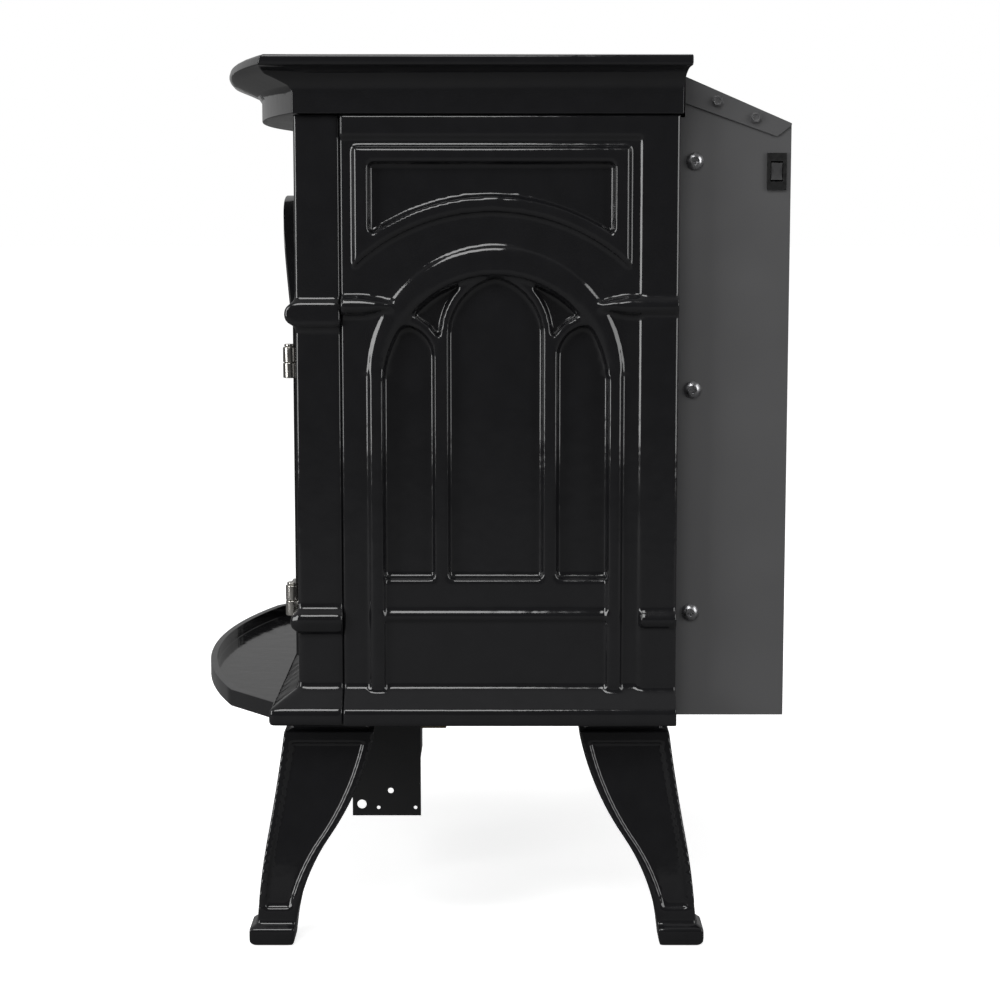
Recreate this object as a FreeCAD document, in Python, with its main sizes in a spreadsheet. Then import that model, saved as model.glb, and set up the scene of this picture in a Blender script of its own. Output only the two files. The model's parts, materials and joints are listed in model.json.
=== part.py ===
import FreeCAD
import Part
import Sketcher
import math
import os
import re

# A free-standing cast-iron gas heating stove, in millimetres.
# X is to the right seen from the front, the front looks along -Y, Z is up,
# and the origin is on the floor under the middle of the stove.

doc = FreeCAD.newDocument("gas_stove")
sheet = doc.addObject("Spreadsheet::Sheet", "Sizes")

# Driving dimensions
SIZES = {
    # Body of the stove
    "stove_height": 690,
    "leg_height": 178,
    "body_half": 280,
    "body_front": 140.5,
    "body_rear": 153,
    "casting_wall": 12,
    "front_wall": 9,
    "front_return": 35,
    "back_wall": 6,
    # Base moulding
    "base_height": 28,
    "base_face": 12,
    "base_reach": 16,
    "base_front_reach": 22.5,
    "base_plate_thick": 8,
    # Cornice and top plate
    "cornice_height": 43,
    "lip_thick": 8,
    "fascia_high": 16,
    "fascia_proud": 5,
    "cove_side": 18,
    "cove_front": 23.3,
    "cove_rear": 5.4,
    "rear_rim": 2,
    "fascia_bow": 46.7,
    "lip_bow": 50,
    "top_wall": 6,
    # Mouldings on the castings
    "bead_proud": 4,
    "band_high": 18,
    "band_drop": 160,
    "band_reach": 8.4,
    "side_band_lift": 8,
    "side_band_high": 15,
    "band_proud": 6.5,
    "band_tip_long": 22,
    "band_tip_radius": 2,
    "band_lap": 17,
    "low_band_high": 15,
    "low_band_rise": 44,
    "low_band_reach": 6.4,
    "low_band_lift": 2,
    # Front posts and door
    "post_margin": 9,
    "post_wide": 77,
    "door_sill": 10,
    "door_rise": 97,
    "header_high": 60,
    "door_lap": 14,
    "door_gap": 1,
    "door_edge_thick": 7.5,
    "door_bow": 7,
    "crest_wide": 12,
    "crest_bow": 21,
    "door_stile": 38,
    "door_rail": 44,
    "door_bar": 12,
    "centre_light_half": 50,
    "light_rise": 105,
    "light_crown": 42,
    "side_light_rise": 80,
    "side_light_drop": 40,
    "rebate_inset": 24,
    "gasket_thick": 1.5,
    "gasket_wide": 8,
    "glass_thick": 4,
    "clip_thick": 1.5,
    "clip_hold": 9,
    "clip_high_half": 7,
    "clip_from_foot": 74,
    "clip_from_spring": 70,
    "clip_head_radius": 3.6,
    "rope_inset": 3,
    "rope_wide": 8,
    "rope_deep": 4,
    # Door pull and hinges
    "handle_inset": 19,
    "handle_half": 45,
    "handle_reach": 26,
    "handle_radius": 6,
    "handle_stem": 4,
    "hinge_out": 23,
    "hinge_proud": 8,
    "low_hinge_rise": 49,
    "high_hinge_drop": 46,
    "knuckle_high": 12,
    "knuckle_radius": 5.5,
    "knuckle_arm": 4,
    "leaf_thick": 5,
    "pin_radius": 2.5,
    "pin_cap_high": 2,
    "pin_cap_radius": 4.4,
    # Side panel
    "arch_shift": 10.75,
    "arch_half": 96.5,
    "arch_band": 10,
    "arch_drop": 197,
    "arch_crown_band": 20,
    "tracery_depth": 7,
    "mullion_width": 11,
    "mullion_spread": 83.5,
    "side_lancet_wide": 39,
    "fork_width": 6,
    "fork_crown": 8,
    "side_spring_rise": 13,
    "side_lancet_rise": 24,
    "centre_spring_rise": 29,
    "centre_lancet_rise": 45,
    "sill_rise": 85,
    "dado_rise": 56,
    "dado_bead": 5,
    "spandrel_half": 104.5,
    "spandrel_shift": 3,
    "spandrel_drop": 25.3,
    "spandrel_rise": 40.6,
    "spandrel_high": 47.5,
    "spandrel_bead": 11,
    "spandrel_depth": 4,
    "rear_post": 28,
    "rail_high": 16.5,
    "rail_proud": 2.5,
    # Tray
    "tongue_half": 120,
    "tray_reach": 77,
    "tray_corner_inset": 80,
    "tray_corner_reach": 40,
    "tray_splay": 50,
    "tray_step": 9,
    "tray_high": 13.5,
    "tray_floor": 3.5,
    "tray_rim": 5.5,
    "tray_tongue": 26,
    "tray_ledge": 12,
    "tongue_lap": 2,
    # Legs
    "leg_inset": 16,
    "leg_forward": 13.7,
    "leg_shift": 8.4,
    "leg_neck": 11,
    "leg_wide": 71.5,
    "leg_kick": 20.8,
    "leg_wall": 12,
    "leg_border": 6,
    "panel_depth": 2.5,
    "knee_drop": 82,
    "knee_kick": 12.7,
    "knee_wide": 49.3,
    "knee_hollow": 1400,
    "knee_swell": 530,
    "calf_hollow": 155,
    "calf_swell": 215,
    "ankle_wide": 30.8,
    "foot_high": 17,
    "foot_flare": 6,
    "foot_taper": 2,
    "panel_shoulder": 3,
    "panel_ease": 1,
    # Bolts and rods
    "bolt_radius": 4,
    "bolt_across": 13,
    "bolt_head": 5.5,
    "tie_radius": 4,
    "tie_inset": 14,
    # Rear casing and hood
    "casing_inset": 18,
    "casing_deep": 86,
    "casing_lift": 2,
    "sheet": 1.5,
    "hood_tuck": 0.46,
    "hood_drop": 14.3,
    "hood_fall": 35.1,
    "hood_flange": 20,
    "hood_cut": 11,
    "hood_screw_drop": 8,
    "louvre_half": 110,
    "louvre_rise": 150,
    "louvre_step": 14,
    "louvre_high": 6,
    "casing_screw_inset": 12.3,
    "screw_rise": 82,
    "screw_drop": 35,
    "screw_radius": 2,
    "screw_long": 9,
    "pan_radius": 6.6,
    "pan_high": 3,
    "pan_crown": 4.6,
    "hood_screw_across": 7.5,
    # Fan switch
    "switch_drop": 36.4,
    "switch_inset": 11,
    "switch_wide": 15,
    "switch_high": 28,
    "switch_deep": 22,
    "switch_back": 3,
    "bezel_lap": 2,
    "bezel_side_lap": 1,
    "bezel_proud": 2,
    "rocker_wide": 8.5,
    "rocker_high": 13,
    "rocker_back": 3,
    "rocker_gap": 0.6,
    "trunnion_radius": 1.2,
    "trunnion_wall": 1.6,
    "trunnion_play": 0.2,
    # Blower
    "wheel_radius": 30,
    "wheel_half": 90,
    "wheel_gap": 4,
    "blade_radius": 2.2,
    "blade_inset": 3.5,
    "drum_disc": 3,
    "blower_sheet": 1.5,
    "shaft_radius": 3,
    "shaft_play": 1,
    "motor_radius": 26,
    "motor_long": 44,
    "gland_inset": 57,
    "gland_rise": 35,
    "gland_radius": 8,
    "gland_lip": 1,
    "lead_radius": 4,
    # Firebox
    "fire_side_gap": 65,
    "fire_back_gap": 58,
    "fire_drop": 42,
    "fire_sheet": 2,
    "liner_thick": 15,
    "baffle_set": 80.5,
    "baffle_drop": 45,
    # Burner and grate
    "burner_half": 140,
    "burner_set": 82.5,
    "burner_deep": 100,
    "burner_high": 30,
    "burner_wall": 2,
    "port_radius": 1.5,
    "venturi_side": 30,
    "venturi_set": 18,
    "venturi_radius": 11,
    "venturi_collar": 5,
    "venturi_rise": 14,
    "air_shutter": 5,
    "ember_deep": 42,
    "ember_high": 14,
    "ember_gap": 20,
    "bar_wide": 8,
    # Logs
    "log_half": 150,
    "log_front_half": 138,
    "log_top_start": 90,
    "log_top_long": 195,
    "log_part": 8,
    "log_rear_radius": 28,
    "log_rear_tip": 26.3,
    "log_rear_set": 74,
    "log_front_radius": 20,
    "log_front_set": 8,
    "log_top_radius": 17,
    # Pilot
    "pilot_side": 85,
    "pilot_set": 20,
    "pilot_high": 30,
    "pilot_half": 14,
    "pilot_wide": 8,
    "pilot_tube_radius": 3,
    "probe_radius": 2,
    "probe_apart": 8.4,
    "spark_rise": 4,
    "thermo_rise": 8,
    "nozzle_radius": 4.8,
    "pilot_seat": 8,
    # Valve and bracket
    "bracket_side": 100,
    "bracket_set": 29.5,
    "bracket_deep": 59,
    "bracket_drop": 95,
    "bracket_wide": 100,
    "flange_wide": 16,
    "access_inset": 8,
    "access_rise": 10,
    "access_radius": 4,
    "lead_hole_inset": 33,
    "lead_hole_rise": 22,
    "lead_hole_radius": 2.5,
    "rivet_inset": 22.4,
    "rivet_end": 54.3,
    "rivet_rise": 7,
    "rivet_radius": 1.6,
    "valve_drop": 28,
    "valve_high": 55,
    "valve_wide": 90,
    "valve_long": 56,
    "stem_radius": 3,
    "stem_inset": 24,
    "stem_apart": 40,
    "stem_drop": 22,
    "stem_deep": 18,
    "stem_out": 18,
    "stem_hold": 10,
    "injector_high": 12,
    "injector_across": 12,
    "injector_hex_high": 6,
    "injector_nose": 4.2,
    "injector_tip": 2.4,
    "elbow_high": 8,
    "elbow_margin": 1,
    "regulator_radius": 11,
    "regulator_drop": 11,
    "regulator_long": 18,
    "regulator_inset": 24,
    "inlet_inset": 22,
    "inlet_rise": 34,
    "inlet_radius": 9.5,
    "inlet_wall": 3,
    "inlet_long": 22,
    # Knobs and igniter
    "knob_radius": 15,
    "knob_high": 13,
    "knob_grip": 9,
    "grip_half": 3,
    "grip_reach": 12.75,
    "igniter_rise": 21,
    "sleeve_radius": 7,
    "sleeve_lip": 3,
    "sleeve_long": 34,
    "sleeve_end": 2,
    "button_radius": 5,
    "button_travel": 6,
    "button_cap": 2,
    "button_hold": 20,
    # Fits
    "air_gap": 0.3,
    "pipe_gap": 1,
    "running_fit": 0.06,
}

# Levels and places that follow from the driving dimensions
DERIVED = {
    "base_top": "leg_height + base_height",
    "panel_top": "stove_height - cornice_height",
    "door_half": "body_half - post_wide",
    "post_inner": "door_half + post_margin",
    "hinge_side": "post_inner + hinge_out",
    "hinge_front": "body_front + hinge_proud",
    "door_top": "panel_top - header_high",
    "door_foot": "base_top + door_sill",
    "door_spring": "door_top - door_rise",
    "centre_light_top": "door_top - light_crown",
    "centre_light_spring": "centre_light_top - light_rise",
    "side_light_top": "centre_light_top - side_light_drop",
    "side_light_spring": "side_light_top - side_light_rise",
    "clip_low": "door_foot + clip_from_foot",
    "clip_high": "door_spring - clip_from_spring",
    "handle_level": "(door_foot + door_spring) / 2",
    "handle_side": "door_half - handle_inset",
    "low_hinge": "base_top + low_hinge_rise",
    "high_hinge": "door_spring - high_hinge_drop",
    "band_level": "panel_top - band_drop",
    "low_band_level": "base_top + low_band_rise",
    "arch_middle": "(body_rear - body_front + front_return) / 2 - arch_shift",
    "arch_spring": "panel_top - arch_drop",
    "side_lancet_spring": "arch_spring + side_spring_rise",
    "side_lancet_top": "side_lancet_spring + side_lancet_rise",
    "centre_lancet_spring": "arch_spring + centre_spring_rise",
    "centre_lancet_top": "centre_lancet_spring + centre_lancet_rise",
    "sill_level": "base_top + sill_rise",
    "dado_level": "base_top + dado_rise",
    "spandrel_middle": "arch_middle - spandrel_shift",
    "spandrel_top": "panel_top - spandrel_drop",
    "spandrel_crown": "spandrel_top - spandrel_high",
    "spandrel_bottom": "spandrel_crown - spandrel_rise",
    "tray_front": "body_front + base_front_reach + tray_reach",
    "tray_corner": "body_front + base_front_reach + tray_corner_reach",
    "tray_corner_half": "body_half - tray_corner_inset",
    "tray_back_half": "tray_corner_half + tray_splay",
    "tray_top": "leg_height + tray_step",
    "leg_half": "body_half - leg_inset",
    "leg_front": "body_front + leg_forward",
    "leg_mid": "(body_rear - body_front) / 2 - leg_shift",
    "knee_level": "leg_height - leg_neck - knee_drop",
    "casing_half": "body_half - casing_inset",
    "casing_rear": "body_rear + casing_deep",
    "casing_foot": "leg_height + casing_lift",
    "hood_high": "stove_height - hood_drop",
    "hood_low": "hood_high - hood_fall",
    "louvre_level": "casing_foot + louvre_rise",
    "casing_screw_low": "casing_foot + screw_rise",
    "casing_screw_step": "(panel_top - screw_drop - casing_screw_low) / 2",
    "switch_level": "hood_low - switch_drop",
    "gland_side": "casing_half - gland_inset",
    "gland_level": "casing_foot + gland_rise",
    "fire_half": "body_half - fire_side_gap",
    "fire_rear": "body_rear - fire_back_gap",
    "fire_top": "panel_top - fire_drop",
    "baffle_front": "-body_front + baffle_set",
    "baffle_level": "fire_top - baffle_drop",
    "burner_front": "-body_front + burner_set",
    "venturi_back": "burner_front + venturi_set",
    "pilot_back": "burner_front - pilot_set",
    "log_rear_back": "burner_front + log_rear_set",
    "log_front_back": "burner_front + log_front_set",
    "bracket_front": "-body_front + bracket_set",
    "valve_top": "leg_height - valve_drop",
    "bracket_foot": "valve_top - bracket_drop",
    "igniter_level": "bracket_foot + igniter_rise",
}

for row, (name, number) in enumerate(SIZES.items(), start=1):
    sheet.set("A%d" % row, name)
    sheet.set("B%d" % row, str(number))
    sheet.setAlias("B%d" % row, name)
doc.recompute()

WORD = re.compile(r"[A-Za-z_]+")


def formula(text):
    """Point every size named in a formula at its cell, and write out the places that follow from them."""
    def cell(match):
        word = match.group()
        if word in DERIVED:
            return "(%s)" % formula(DERIVED[word])
        return "Sizes." + word if word in SIZES else word
    return WORD.sub(cell, str(text))


def value(text):
    """Work out a formula from the sheet."""
    return float(sheet.evalExpression(formula(text)))


def bind(thing, **formulas):
    """Bind the properties of an object to formulas of the sheet."""
    for name, text in formulas.items():
        thing.setExpression(name, formula(text))
    return thing


def place(thing, x=0, y=0, z=0):
    """Bind an object's position to formulas of the sheet."""
    for axis, text in zip("xyz", (x, y, z)):
        thing.setExpression("Placement.Base." + axis, formula(text))
    return thing


def vec(x, y, z=0.0):
    return FreeCAD.Vector(x, y, z)


def edge_of(start, end, radius):
    """A line from start to end, or an arc that turns left for a radius above zero and else right."""
    if not radius:
        return Part.LineSegment(vec(*start), vec(*end))
    middle = ((start[0] + end[0]) / 2, (start[1] + end[1]) / 2)
    half = math.dist(start, end) / 2
    away = math.sqrt(max(radius * radius - half * half, 0.0)) / (2 * half)
    turn = 1 if radius > 0 else -1
    centre = (middle[0] - turn * away * (end[1] - start[1]), middle[1] + turn * away * (end[0] - start[0]))
    first, last = (start, end) if radius > 0 else (end, start)
    angles = [math.atan2(p[1] - centre[1], p[0] - centre[0]) for p in (first, last)]
    circle = Part.Circle(vec(*centre), vec(0, 0, 1), abs(radius))
    return Part.ArcOfCircle(circle, angles[0], angles[1])


def draw_loop(sketch, loop):
    """Draw a closed outline. A point is (x, y), or (x, y, radius) where an arc arrives at it."""
    first = sketch.GeometryCount
    points = [(value(point[0]), value(point[1])) for point in loop]
    radii = [point[2] if len(point) > 2 else None for point in loop]
    count = len(loop)
    edges = []
    ends = []
    for i in range(count):
        radius = value(radii[(i + 1) % count]) if radii[(i + 1) % count] else 0
        edges.append(edge_of(points[i], points[(i + 1) % count], radius))
        ends.append((2, 1) if radius < 0 else (1, 2))
    sketch.addGeometry(edges, False)
    rules = []
    formulas = []
    for i in range(count):
        after = (i + 1) % count
        rules.append(Sketcher.Constraint("Coincident", first + i, ends[i][1], first + after, ends[after][0]))
        formulas.append(None)
        for kind, axis in (("DistanceX", 0), ("DistanceY", 1)):
            rules.append(Sketcher.Constraint(kind, -1, 1, first + i, ends[i][0], points[i][axis]))
            formulas.append(loop[i][axis])
        if radii[after]:
            rules.append(Sketcher.Constraint("Radius", first + i, abs(value(radii[after]))))
            formulas.append("abs(%s)" % radii[after])
    add_rules(sketch, rules, formulas)


def draw_circle(sketch, x, y, radius):
    """Draw a circle whose middle and radius follow the sheet."""
    index = sketch.GeometryCount
    sketch.addGeometry(Part.Circle(vec(value(x), value(y)), vec(0, 0, 1), value(radius)), False)
    rules = [
        Sketcher.Constraint("DistanceX", -1, 1, index, 3, value(x)),
        Sketcher.Constraint("DistanceY", -1, 1, index, 3, value(y)),
        Sketcher.Constraint("Radius", index, value(radius)),
    ]
    add_rules(sketch, rules, [x, y, radius])


def add_rules(sketch, rules, formulas):
    """Add constraints in one go and bind those that have a formula."""
    first = sketch.ConstraintCount
    sketch.addConstraint(rules)
    for i, text in enumerate(formulas):
        if text is not None:
            sketch.setExpression("Constraints[%d]" % (first + i), formula(text))


def draw(sketch, outlines):
    for outline in outlines:
        if outline[0] == "circle":
            draw_circle(sketch, *outline[1:])
        else:
            draw_loop(sketch, outline)


def negative(text):
    return "-(%s)" % text


class Piece:
    """A body built from sketches on planes across the X, Y or Z axis."""

    PLANES = {"x": "YZ_Plane", "y": "XZ_Plane", "z": "XY_Plane"}

    def __init__(self, label):
        self.body = doc.addObject("PartDesign::Body", label)
        self.body.Label = label
        self.planes = {f.Role: f for f in self.body.Origin.OriginFeatures}

    def sketch(self, axis, level, outlines):
        """A sketch that lies across an axis at a level on it."""
        sketch = self.body.newObject("Sketcher::SketchObject", self.body.Name + "_sketch")
        sketch.AttachmentSupport = [(self.planes[self.PLANES[axis]], "")]
        sketch.MapMode = "FlatFace"
        offset = negative(level) if axis == "y" else level
        sketch.setExpression("AttachmentOffset.Base.z", formula(offset))
        draw(sketch, outlines)
        return sketch

    def pad(self, axis, lower, upper, *outlines):
        """Add material between two levels of an axis."""
        sketch = self.sketch(axis, upper if axis == "y" else lower, outlines)
        feature = self.body.newObject("PartDesign::Pad", self.body.Name + "_pad")
        feature.Profile = sketch
        bind(feature, Length="(%s) - (%s)" % (upper, lower))
        return self

    def pocket(self, axis, lower, upper, *outlines):
        """Take material away between two levels of an axis."""
        sketch = self.sketch(axis, lower if axis == "y" else upper, outlines)
        feature = self.body.newObject("PartDesign::Pocket", self.body.Name + "_pocket")
        feature.Profile = sketch
        bind(feature, Length="(%s) - (%s)" % (upper, lower))
        return self

    def loft(self, axis, *sections):
        """Add material through outlines at several levels, each (level, outline), with straight sides."""
        sketches = [self.sketch(axis, level, [outline]) for level, outline in sections]
        feature = self.body.newObject("PartDesign::AdditiveLoft", self.body.Name + "_loft")
        feature.Profile = sketches[0]
        feature.Sections = sketches[1:]
        feature.Ruled = True
        return self


def prism(label, axis, lower, upper, *outlines):
    """A straight prism across an axis, for the booleans."""
    sketch = doc.addObject("Sketcher::SketchObject", label + "_sketch")
    turns = {
        "x": FreeCAD.Rotation(0.5, 0.5, 0.5, 0.5),
        "y": FreeCAD.Rotation(vec(1, 0, 0), 90),
        "z": FreeCAD.Rotation(),
    }
    sketch.Placement = FreeCAD.Placement(vec(0, 0, 0), turns[axis])
    sketch.setExpression("Placement.Base." + axis, formula(upper if axis == "y" else lower))
    draw(sketch, outlines)
    solid = doc.addObject("Part::Extrusion", label)
    solid.Base = sketch
    solid.DirMode = "Normal"
    solid.Solid = True
    return bind(solid, LengthFwd="(%s) - (%s)" % (upper, lower))


def box(label, x, y, z):
    """A block between pairs of levels on X, Y and Z."""
    block = doc.addObject("Part::Box", label)
    for name, (lower, upper) in zip(("Length", "Width", "Height"), (x, y, z)):
        bind(block, **{name: "(%s) - (%s)" % (upper, lower)})
    return place(block, x[0], y[0], z[0])


TURN = {
    "x": FreeCAD.Rotation(vec(0, 1, 0), 90),
    "y": FreeCAD.Rotation(vec(1, 0, 0), -90),
    "z": FreeCAD.Rotation(),
}


def rod(label, axis, radius, x, y, z, length, far_radius=None):
    """A cylinder, or a cone with a far radius, from (x, y, z) along an axis."""
    kind = "Part::Cone" if far_radius else "Part::Cylinder"
    solid = doc.addObject(kind, label)
    solid.Placement = FreeCAD.Placement(vec(0, 0, 0), TURN[axis])
    if far_radius:
        bind(solid, Radius1=radius, Radius2=far_radius, Height=length)
    else:
        bind(solid, Radius=radius, Height=length)
    return place(solid, x, y, z)


def fuse(label, *solids):
    joined = doc.addObject("Part::MultiFuse", label)
    joined.Shapes = list(solids)
    joined.Refine = True
    return joined


def cut(label, base, *tools):
    """A base with one or more tools taken out of it."""
    tool = tools[0] if len(tools) == 1 else fuse(label + "_tools", *tools)
    result = doc.addObject("Part::Cut", label)
    result.Base = base
    result.Tool = tool
    return result


def common(label, first, second):
    result = doc.addObject("Part::Common", label)
    result.Base = first
    result.Tool = second
    return result


def group(label, *solids):
    """Separate solids that share one node."""
    result = doc.addObject("Part::Compound", label)
    result.Links = list(solids)
    return result


def mirror(label, source, normal, at=0):
    """The mirror image of a piece across a plane, which lies at a distance along its normal."""
    image = doc.addObject("Part::Mirroring", label)
    image.Source = source
    image.Normal = normal
    for axis, amount in zip("xyz", normal):
        if amount:
            image.setExpression("Base." + axis, formula(at))
    return image


NODES = []


def keep(thing, label):
    """Give a finished sub-part its node name."""
    solid = thing.body if isinstance(thing, Piece) else thing
    solid.Label = label
    NODES.append(solid)
    return solid


# Levels that several pieces share
BASE_TOP = "base_top"
SLOPE_FOOT = "leg_height + base_face"
PANEL_TOP = "panel_top"
INNER_HALF = "body_half - casting_wall"
FRONT_SEAM = "-body_front + front_return"
FRONT_BACK = "-body_front + front_wall"
BASE_FRONT = "-body_front - base_front_reach"
BACK_FACE = "body_rear - back_wall"
VENTURI = ("venturi_side", "venturi_back")
PILOT = ("pilot_side", "pilot_back")


def rectangle(x, y):
    """An outline between two pairs of levels."""
    return [(x[0], y[0]), (x[1], y[0]), (x[1], y[1]), (x[0], y[1])]


def both(half):
    """The pair of levels on both sides of the middle."""
    return (negative(half), half)


def lancet(left, right, foot, spring, top):
    """A pointed arch between two jambs."""
    half = "((%s) - (%s)) / 2" % (right, left)
    rise = "((%s) - (%s))" % (top, spring)
    radius = "((%s)^2 + %s^2) / (2 * %s)" % (half, rise, half)
    middle = "((%s) + (%s)) / 2" % (left, right)
    return [(left, foot), (right, foot), (right, spring), (middle, top, radius), (left, spring, radius)]


def round_arch(middle, half, foot, spring):
    """A round-headed arch about a middle line."""
    left, right = "%s - (%s)" % (middle, half), "%s + (%s)" % (middle, half)
    crown = "(%s) + (%s)" % (spring, half)
    return [(left, foot), (right, foot), (right, spring), (middle, crown, half), (left, spring, half)]


def bowed(half, front, bow, rear):
    """A plan with a straight back and sides and a bowed front."""
    radius = "((%s)^2 + (%s)^2) / (2 * (%s))" % (half, bow, bow)
    return [(negative(half), negative(front)), (half, negative(front), radius), (half, rear),
            (negative(half), rear)]


# Top plate: a cove swings out from an upright fascia to a rounded lip
def top_section(share, nose):
    """The plan of the cornice where its sides and its front have swung out by shares of their reach."""
    half = "body_half + fascia_proud + %s * cove_side" % share
    front = "body_front + %s * cove_front" % nose
    bow = "fascia_bow + %s * (lip_bow - fascia_bow)" % nose
    return bowed(half, front, bow, "body_rear + rear_rim + %s * cove_rear" % share)


COVE_END = 0.94
# The front swings out sooner than the sides, to a thicker nose
NOSE_STEPS = (0, 0.12, 0.5, 0.87, 0.97, 1, 1)
top = Piece("top_plate")
top_sections = [(PANEL_TOP, top_section(0, 0))]
for step, nose in enumerate(NOSE_STEPS):
    angle = math.radians(90 * step / (len(NOSE_STEPS) - 1))
    cove_rise = "%s * (cornice_height - lip_thick - fascia_high)" % math.sin(angle)
    level = "%s + fascia_high + %s" % (PANEL_TOP, cove_rise)
    top_sections.append((level, top_section(COVE_END * (1 - math.cos(angle)), nose)))
for drop, share, nose in ((0.75, 1, 1), (0.25, 1, 0.95), (0, COVE_END, 0.85)):
    top_sections.append(("stove_height - %s * lip_thick" % drop, top_section(share, nose)))
top.loft("z", *top_sections)
HOLLOW = rectangle(both(INNER_HALF), (FRONT_BACK, BACK_FACE))
top.pocket("z", PANEL_TOP, "stove_height - top_wall", HOLLOW)
keep(top, "top_plate")


# Front frame: corner posts, the plate round the door and the front of the base
def door_outline(inset):
    """The door's arched outline, drawn in by an inset on all sides."""
    half = "door_half - %s" % inset
    spring = "door_spring"
    rise = "(door_top - door_spring - %s)" % inset
    radius = "((%s)^2 + %s^2) / (2 * %s)" % (half, rise, rise)
    foot = "door_foot + %s" % inset
    return [(negative(half), foot), (half, foot), (half, spring), ("0", "door_top - %s" % inset, radius),
            (negative(half), spring, radius)]


def base_section(reach):
    """The plan of the front of the base where the moulding stands out by a share of its reach."""
    half = "body_half + %s * base_reach" % reach
    return rectangle(both(half), ("-body_front - %s * base_front_reach" % reach, FRONT_SEAM))


front = Piece("front_frame")
front.pad("z", "leg_height", SLOPE_FOOT, base_section(1))
front.loft("z", (SLOPE_FOOT, base_section(1)), (BASE_TOP, base_section(0)))
front.pad("y", "-body_front", FRONT_SEAM, rectangle(both("body_half"), (BASE_TOP, PANEL_TOP)))
POST_BANDS = (
    ("band_level", "band_high", "band_reach", "post_inner + air_gap"),
    ("low_band_level", "low_band_high", "low_band_reach", "hinge_side + 2 * knuckle_radius"),
)
BAND_SIDE = "body_half + band_proud - side_band_high / 2"
BAND_MIDDLE = "band_level + side_band_lift + side_band_high / 2"
LOW_BAND_MIDDLE = "low_band_level + low_band_lift + side_band_high / 2"
for level, high, reach, inner in POST_BANDS:
    top_level = "%s + %s" % (level, high)
    nose_radius = "((%s / 2)^2 + %s^2) / (2 * %s)" % (high, reach, reach)
    band = [(FRONT_SEAM, level), (FRONT_SEAM, top_level), ("-body_front", top_level),
            ("-body_front", level, nose_radius)]
    outer = "body_half + bead_proud"
    front.pad("x", inner, outer, band)
    front.pad("x", negative(outer), negative(inner), band)
for at in (BAND_SIDE, negative(BAND_SIDE)):
    front.pad("y", "-body_front", FRONT_SEAM, ("circle", at, LOW_BAND_MIDDLE, "side_band_high / 2"))
front.pocket("z", "leg_height", PANEL_TOP, rectangle(both(INNER_HALF), (FRONT_BACK, FRONT_SEAM)))
front.pocket("y", "-body_front", FRONT_BACK, door_outline("door_lap"))
keep(front, "front_frame")


# Side panels: a round arch with tracery under a framed spandrel
ARCH_INNER = "arch_half - arch_band"
ARCH_INNER_SPRING = "arch_spring - arch_crown_band + arch_band"
PANEL_FACE = "body_half"
BEAD_FACE = "body_half + bead_proud"


def spandrel(inset):
    """The spandrel's frame, drawn in by an inset, with an arched lower edge."""
    half = "(spandrel_half - %s)" % inset
    left, right = "spandrel_middle - %s" % half, "spandrel_middle + %s" % half
    foot = "spandrel_bottom + 2 * %s" % inset
    crown = "spandrel_crown + %s" % inset
    rise_in = "((%s) - (%s))" % (crown, foot)
    radius = "-(%s^2 + %s^2) / (2 * %s)" % (half, rise_in, rise_in)
    top_edge = "spandrel_top - %s" % inset
    return [(left, foot), ("spandrel_middle", crown, radius), (right, foot, radius), (right, top_edge),
            (left, top_edge)]


side = Piece("side_casting")
side.pad("x", INNER_HALF, PANEL_FACE, rectangle((FRONT_SEAM, "body_rear"), (BASE_TOP, PANEL_TOP)))
base_profile = [(INNER_HALF, "leg_height"), ("body_half + base_reach", "leg_height"),
                ("body_half + base_reach", SLOPE_FOOT), ("body_half", BASE_TOP), (INNER_HALF, BASE_TOP)]
side.pad("y", FRONT_SEAM, "body_rear", base_profile)
side.pad("x", INNER_HALF, BEAD_FACE, spandrel("0"))
side.pocket("x", "body_half - spandrel_depth", BEAD_FACE, spandrel("spandrel_bead"))
arch_outer = round_arch("arch_middle", "arch_half", BASE_TOP, "arch_spring")
arch_inner = round_arch("arch_middle", ARCH_INNER, BASE_TOP, ARCH_INNER_SPRING)
side.pad("x", INNER_HALF, BEAD_FACE, arch_outer)
side.pocket("x", PANEL_FACE, BEAD_FACE, arch_inner)
BAND_TIP = "arch_middle - arch_half + band_lap"
BAND_SHOULDER = BAND_TIP + " - band_tip_long"
REAR_TIP = "arch_middle + arch_half - band_lap"
REAR_SHOULDER = REAR_TIP + " + band_tip_long"
band_round = ("circle", BAND_SIDE, BAND_MIDDLE, "side_band_high / 2")
band_point = ("circle", "body_half + band_proud - band_tip_radius", BAND_MIDDLE, "band_tip_radius")
side.pad("y", FRONT_SEAM, BAND_SHOULDER, band_round)
side.loft("y", (BAND_SHOULDER, band_round), (BAND_TIP, band_point))
side.loft("y", (REAR_TIP, band_point), (REAR_SHOULDER, band_round))
side.pad("y", REAR_SHOULDER, "body_rear", band_round)
side.pad("y", "body_rear - rear_post", "body_rear",
         ("circle", BAND_SIDE, LOW_BAND_MIDDLE, "side_band_high / 2"))
dado = rectangle(("arch_middle - (%s)" % ARCH_INNER, "arch_middle + %s" % ARCH_INNER),
                 ("dado_level - dado_bead / 2", "dado_level + dado_bead / 2"))
side.pad("x", INNER_HALF, "body_half + bead_proud / 2", dado)
RAIL_FACE = "body_half + rail_proud"
side.pad("x", INNER_HALF, RAIL_FACE, rectangle(("body_rear - rear_post", "body_rear"), (BASE_TOP, PANEL_TOP)))
side.pad("x", INNER_HALF, RAIL_FACE,
         rectangle((FRONT_SEAM, "body_rear"), (PANEL_TOP + " - rail_high", PANEL_TOP)))

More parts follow.
